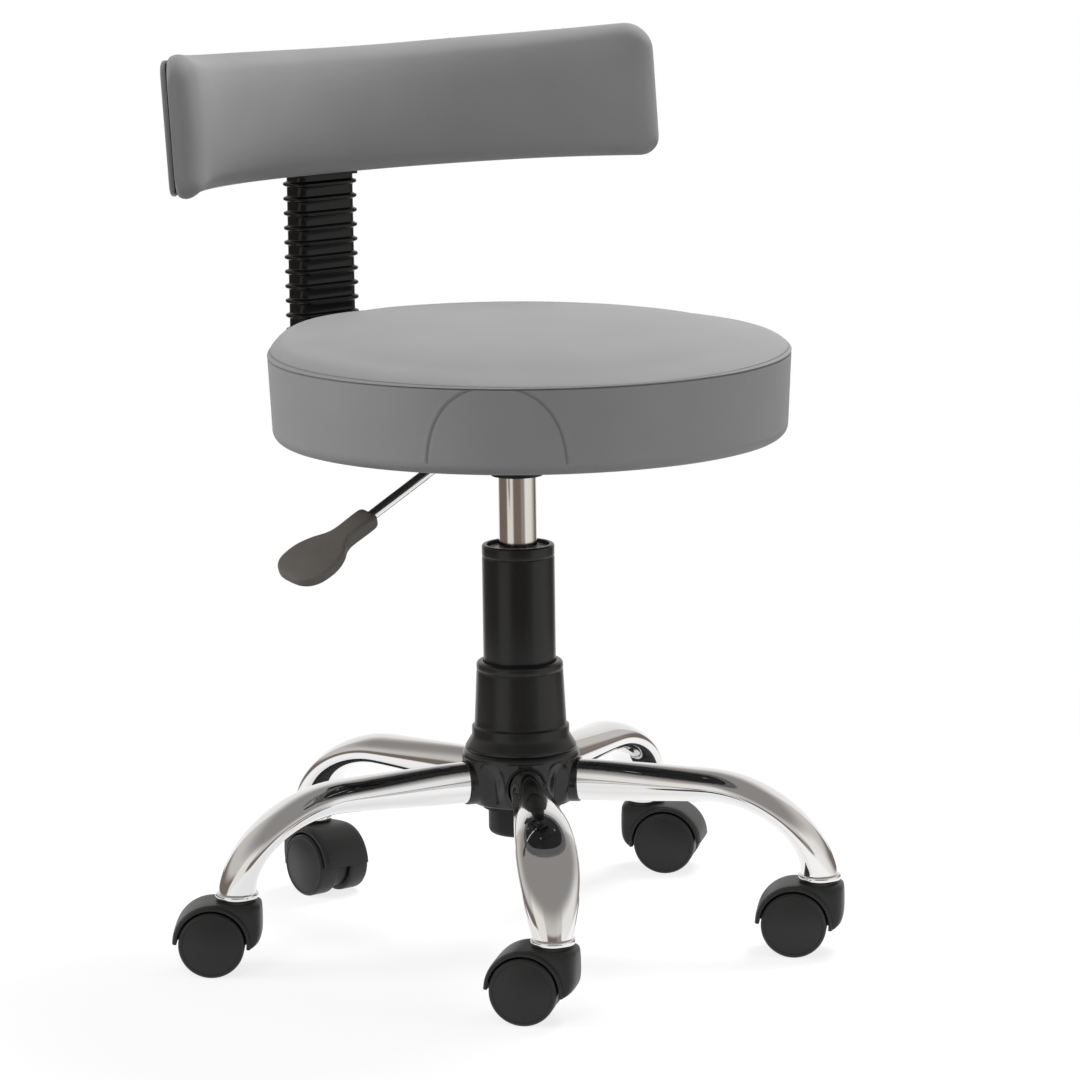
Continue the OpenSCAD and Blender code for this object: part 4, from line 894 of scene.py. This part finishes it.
# Back pad: a short curved pad of the same vinyl over moulded foam, with rounded edges and a softly
# crowned face. It is screwed through its plywood board to the bracket behind it.
mid_z, post_gap, front_edge_r = 0.603, 0.0285, 0.271
back_lean = math.radians(5)
back_rear_r, pad_t, pad_edge, pad_crown = 0.2915, 0.0195, 0.012, 0.0035
pad_swell, pad_calm = 0.0040, 14
end_round, end_t, end_power, overhang = 0.036, 0.004, 2.7, 1.006
pad_half_h, top_corner, low_corner, end_drop, top_dip = 0.0503, 0.022, 0.014, 0.004, 0.0018
back_half_angle = math.radians(53)
back_length = 2 * back_rear_r * back_half_angle
back_centre_y = post_y - post_gap - front_edge_r
back_place = (Matrix.Translation((0, post_y, mid_z)) @ Matrix.Rotation(-back_lean, 4, "X")
              @ Matrix.Translation((0, back_centre_y - post_y, 0)))


def fall(e, r):
    return 0 if e >= r else r - math.sqrt(r * r - (r - e) ** 2)


def around_back(s, section):
    angle = back_half_angle * overhang * (2 * s / back_length - 1)
    return [back_place @ Vector((p * math.sin(angle), p * math.cos(angle), z)) for p, z in section]


def stations(reach, ends, middle):
    edge = [reach * (1 - math.cos(math.pi / 2 * k / ends)) for k in range(ends + 1)]
    inner = [reach + (back_length - 2 * reach) * k / middle for k in range(1, middle)]
    return edge + inner + [back_length - s for s in reversed(edge)]


def pad_section(s):
    e = min(s, back_length - s)
    t = end_t + (pad_t - end_t) * (1 - max(0, 1 - e / end_round) ** end_power) ** (1 / end_power)
    edge = min(pad_edge, 0.7 * t)
    top = pad_half_h - fall(e, top_corner) - top_dip * bell(s / back_length - 0.54, 0.18)
    low = -pad_half_h - end_drop * (2 * s / back_length - 1) ** 2 + fall(e, low_corner)
    swell = pad_crown * math.sin(math.pi / 2 * min(1, e / 0.07)) ** 2
    front = back_rear_r - t
    section = [(back_rear_r, low + edge / 4 + (top - low - edge / 2) * k / 8) for k in range(9)]
    for k in range(9):
        a = math.pi / 2 * k / 8
        section.append((front + edge * (1 - math.sin(a)), top - edge * (1 - math.cos(a))))
    for k in range(1, 16):
        v = 1 - 2 * k / 16
        section.append((front - swell * (1 - v * v), (top + low) / 2 + v * ((top - low) / 2 - edge)))
    for k in range(8, -1, -1):
        a = math.pi / 2 * k / 8
        section.append((front + edge * (1 - math.sin(a)), low + edge * (1 - math.cos(a))))
    return section


def pad_held(point):
    flat = back_place.inverted() @ point
    past_end = abs(math.atan2(flat.x, flat.y)) > back_half_angle * overhang - 0.002 / back_rear_r
    return math.hypot(flat.x, flat.y) > back_rear_r - 0.001 or past_end


pad_mesh = loft([around_back(s, pad_section(s)) for s in stations(top_corner, 12, 72)])
swollen = simulated(pad_mesh, pad_held, puff_pressure, pad_swell, pad_calm)[2]
for v, point in zip(list(pad_mesh.verts), swollen):
    v.co = point
for _ in range(2):
    bmesh.ops.smooth_vert(pad_mesh, verts=[v for v in pad_mesh.verts if not pad_held(v.co)], factor=0.5,
                          use_axis_x=True, use_axis_y=True, use_axis_z=True)
pad_vinyl = vinyl("grey_vinyl_pad", [0.235, 0.235, 0.237], False)
back_cushion = add_piece("back_cushion", pad_mesh, pad_vinyl, "backrest", 60)
rounding = back_cushion.modifiers.new("rounding", "SUBSURF")
rounding.levels = rounding.render_levels = 1
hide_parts("back_pad")

plywood = bpy.data.materials.new("plywood")
plywood.use_nodes = True
tree = plywood.node_tree
wood = tree.nodes["Principled BSDF"]
wood.inputs["Roughness"].default_value = 0.65
spot = tree.nodes.new("ShaderNodeTexCoord")
stretch = tree.nodes.new("ShaderNodeMapping")
stretch.inputs["Scale"].default_value = (6, 70, 120)
fibres = tree.nodes.new("ShaderNodeTexNoise")
fibres.inputs["Scale"].default_value = 3
fibres.inputs["Detail"].default_value = 8
fibres.inputs["Distortion"].default_value = 0.6
tint = tree.nodes.new("ShaderNodeValToRGB")
tint.color_ramp.elements[0].position = 0.35
tint.color_ramp.elements[1].position = 0.65
tint.color_ramp.elements[0].color = (0.42, 0.28, 0.16, 1)
tint.color_ramp.elements[1].color = (0.66, 0.50, 0.33, 1)
tree.links.new(spot.outputs["Object"], stretch.inputs["Vector"])
tree.links.new(stretch.outputs["Vector"], fibres.inputs["Vector"])
tree.links.new(fibres.outputs["Fac"], tint.inputs["Fac"])
tree.links.new(tint.outputs["Color"], wood.inputs["Base Color"])
dress(plywood, "back_board")


# Rear shell and its pod: one moulding of grey plastic with a fine texture, spaced off the pad by a
# narrow dark groove. Its edges are rounded. The pod behind covers the bracket and the top of the bar.
grey_shell = moulded("grey_shell", [0.14, 0.14, 0.145], 0.45, 1400, 0.35)
shell_front_r, shell_rear_r, shell_slim = 0.292, 0.2995, 0.55
shell_top_in, shell_foot_in, shell_pod_half_w, shell_plate_half_h = 0.0035, 0.0020, 0.037, 0.04
shell_mesh = softened("back_shell")
for v in shell_mesh.verts:
    flat = back_place.inverted() @ v.co
    r = math.hypot(flat.x, flat.y)
    if r < shell_rear_r:
        thin = shell_front_r + max(0, r - shell_front_r) * shell_slim
        up = min(1, max(-1, flat.z / shell_plate_half_h))
        moved = shell_foot_in * max(0, -up) - shell_top_in * max(0, up)
        if abs(flat.x) < shell_pod_half_w and abs(up) < 1:
            moved = 0
        v.co = back_place @ Vector((flat.x * thin / r, flat.y * thin / r, flat.z + moved))
rear_shell = add_piece("rear_shell", shell_mesh, grey_shell, "backrest", 40)
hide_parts("back_shell")


# Hand knobs: two satin black mouldings on steel studs. One clamps the bar in its guide under the seat,
# the other clamps the backrest on the bar.
dress(satin_black, "depth_knob", "height_knob")
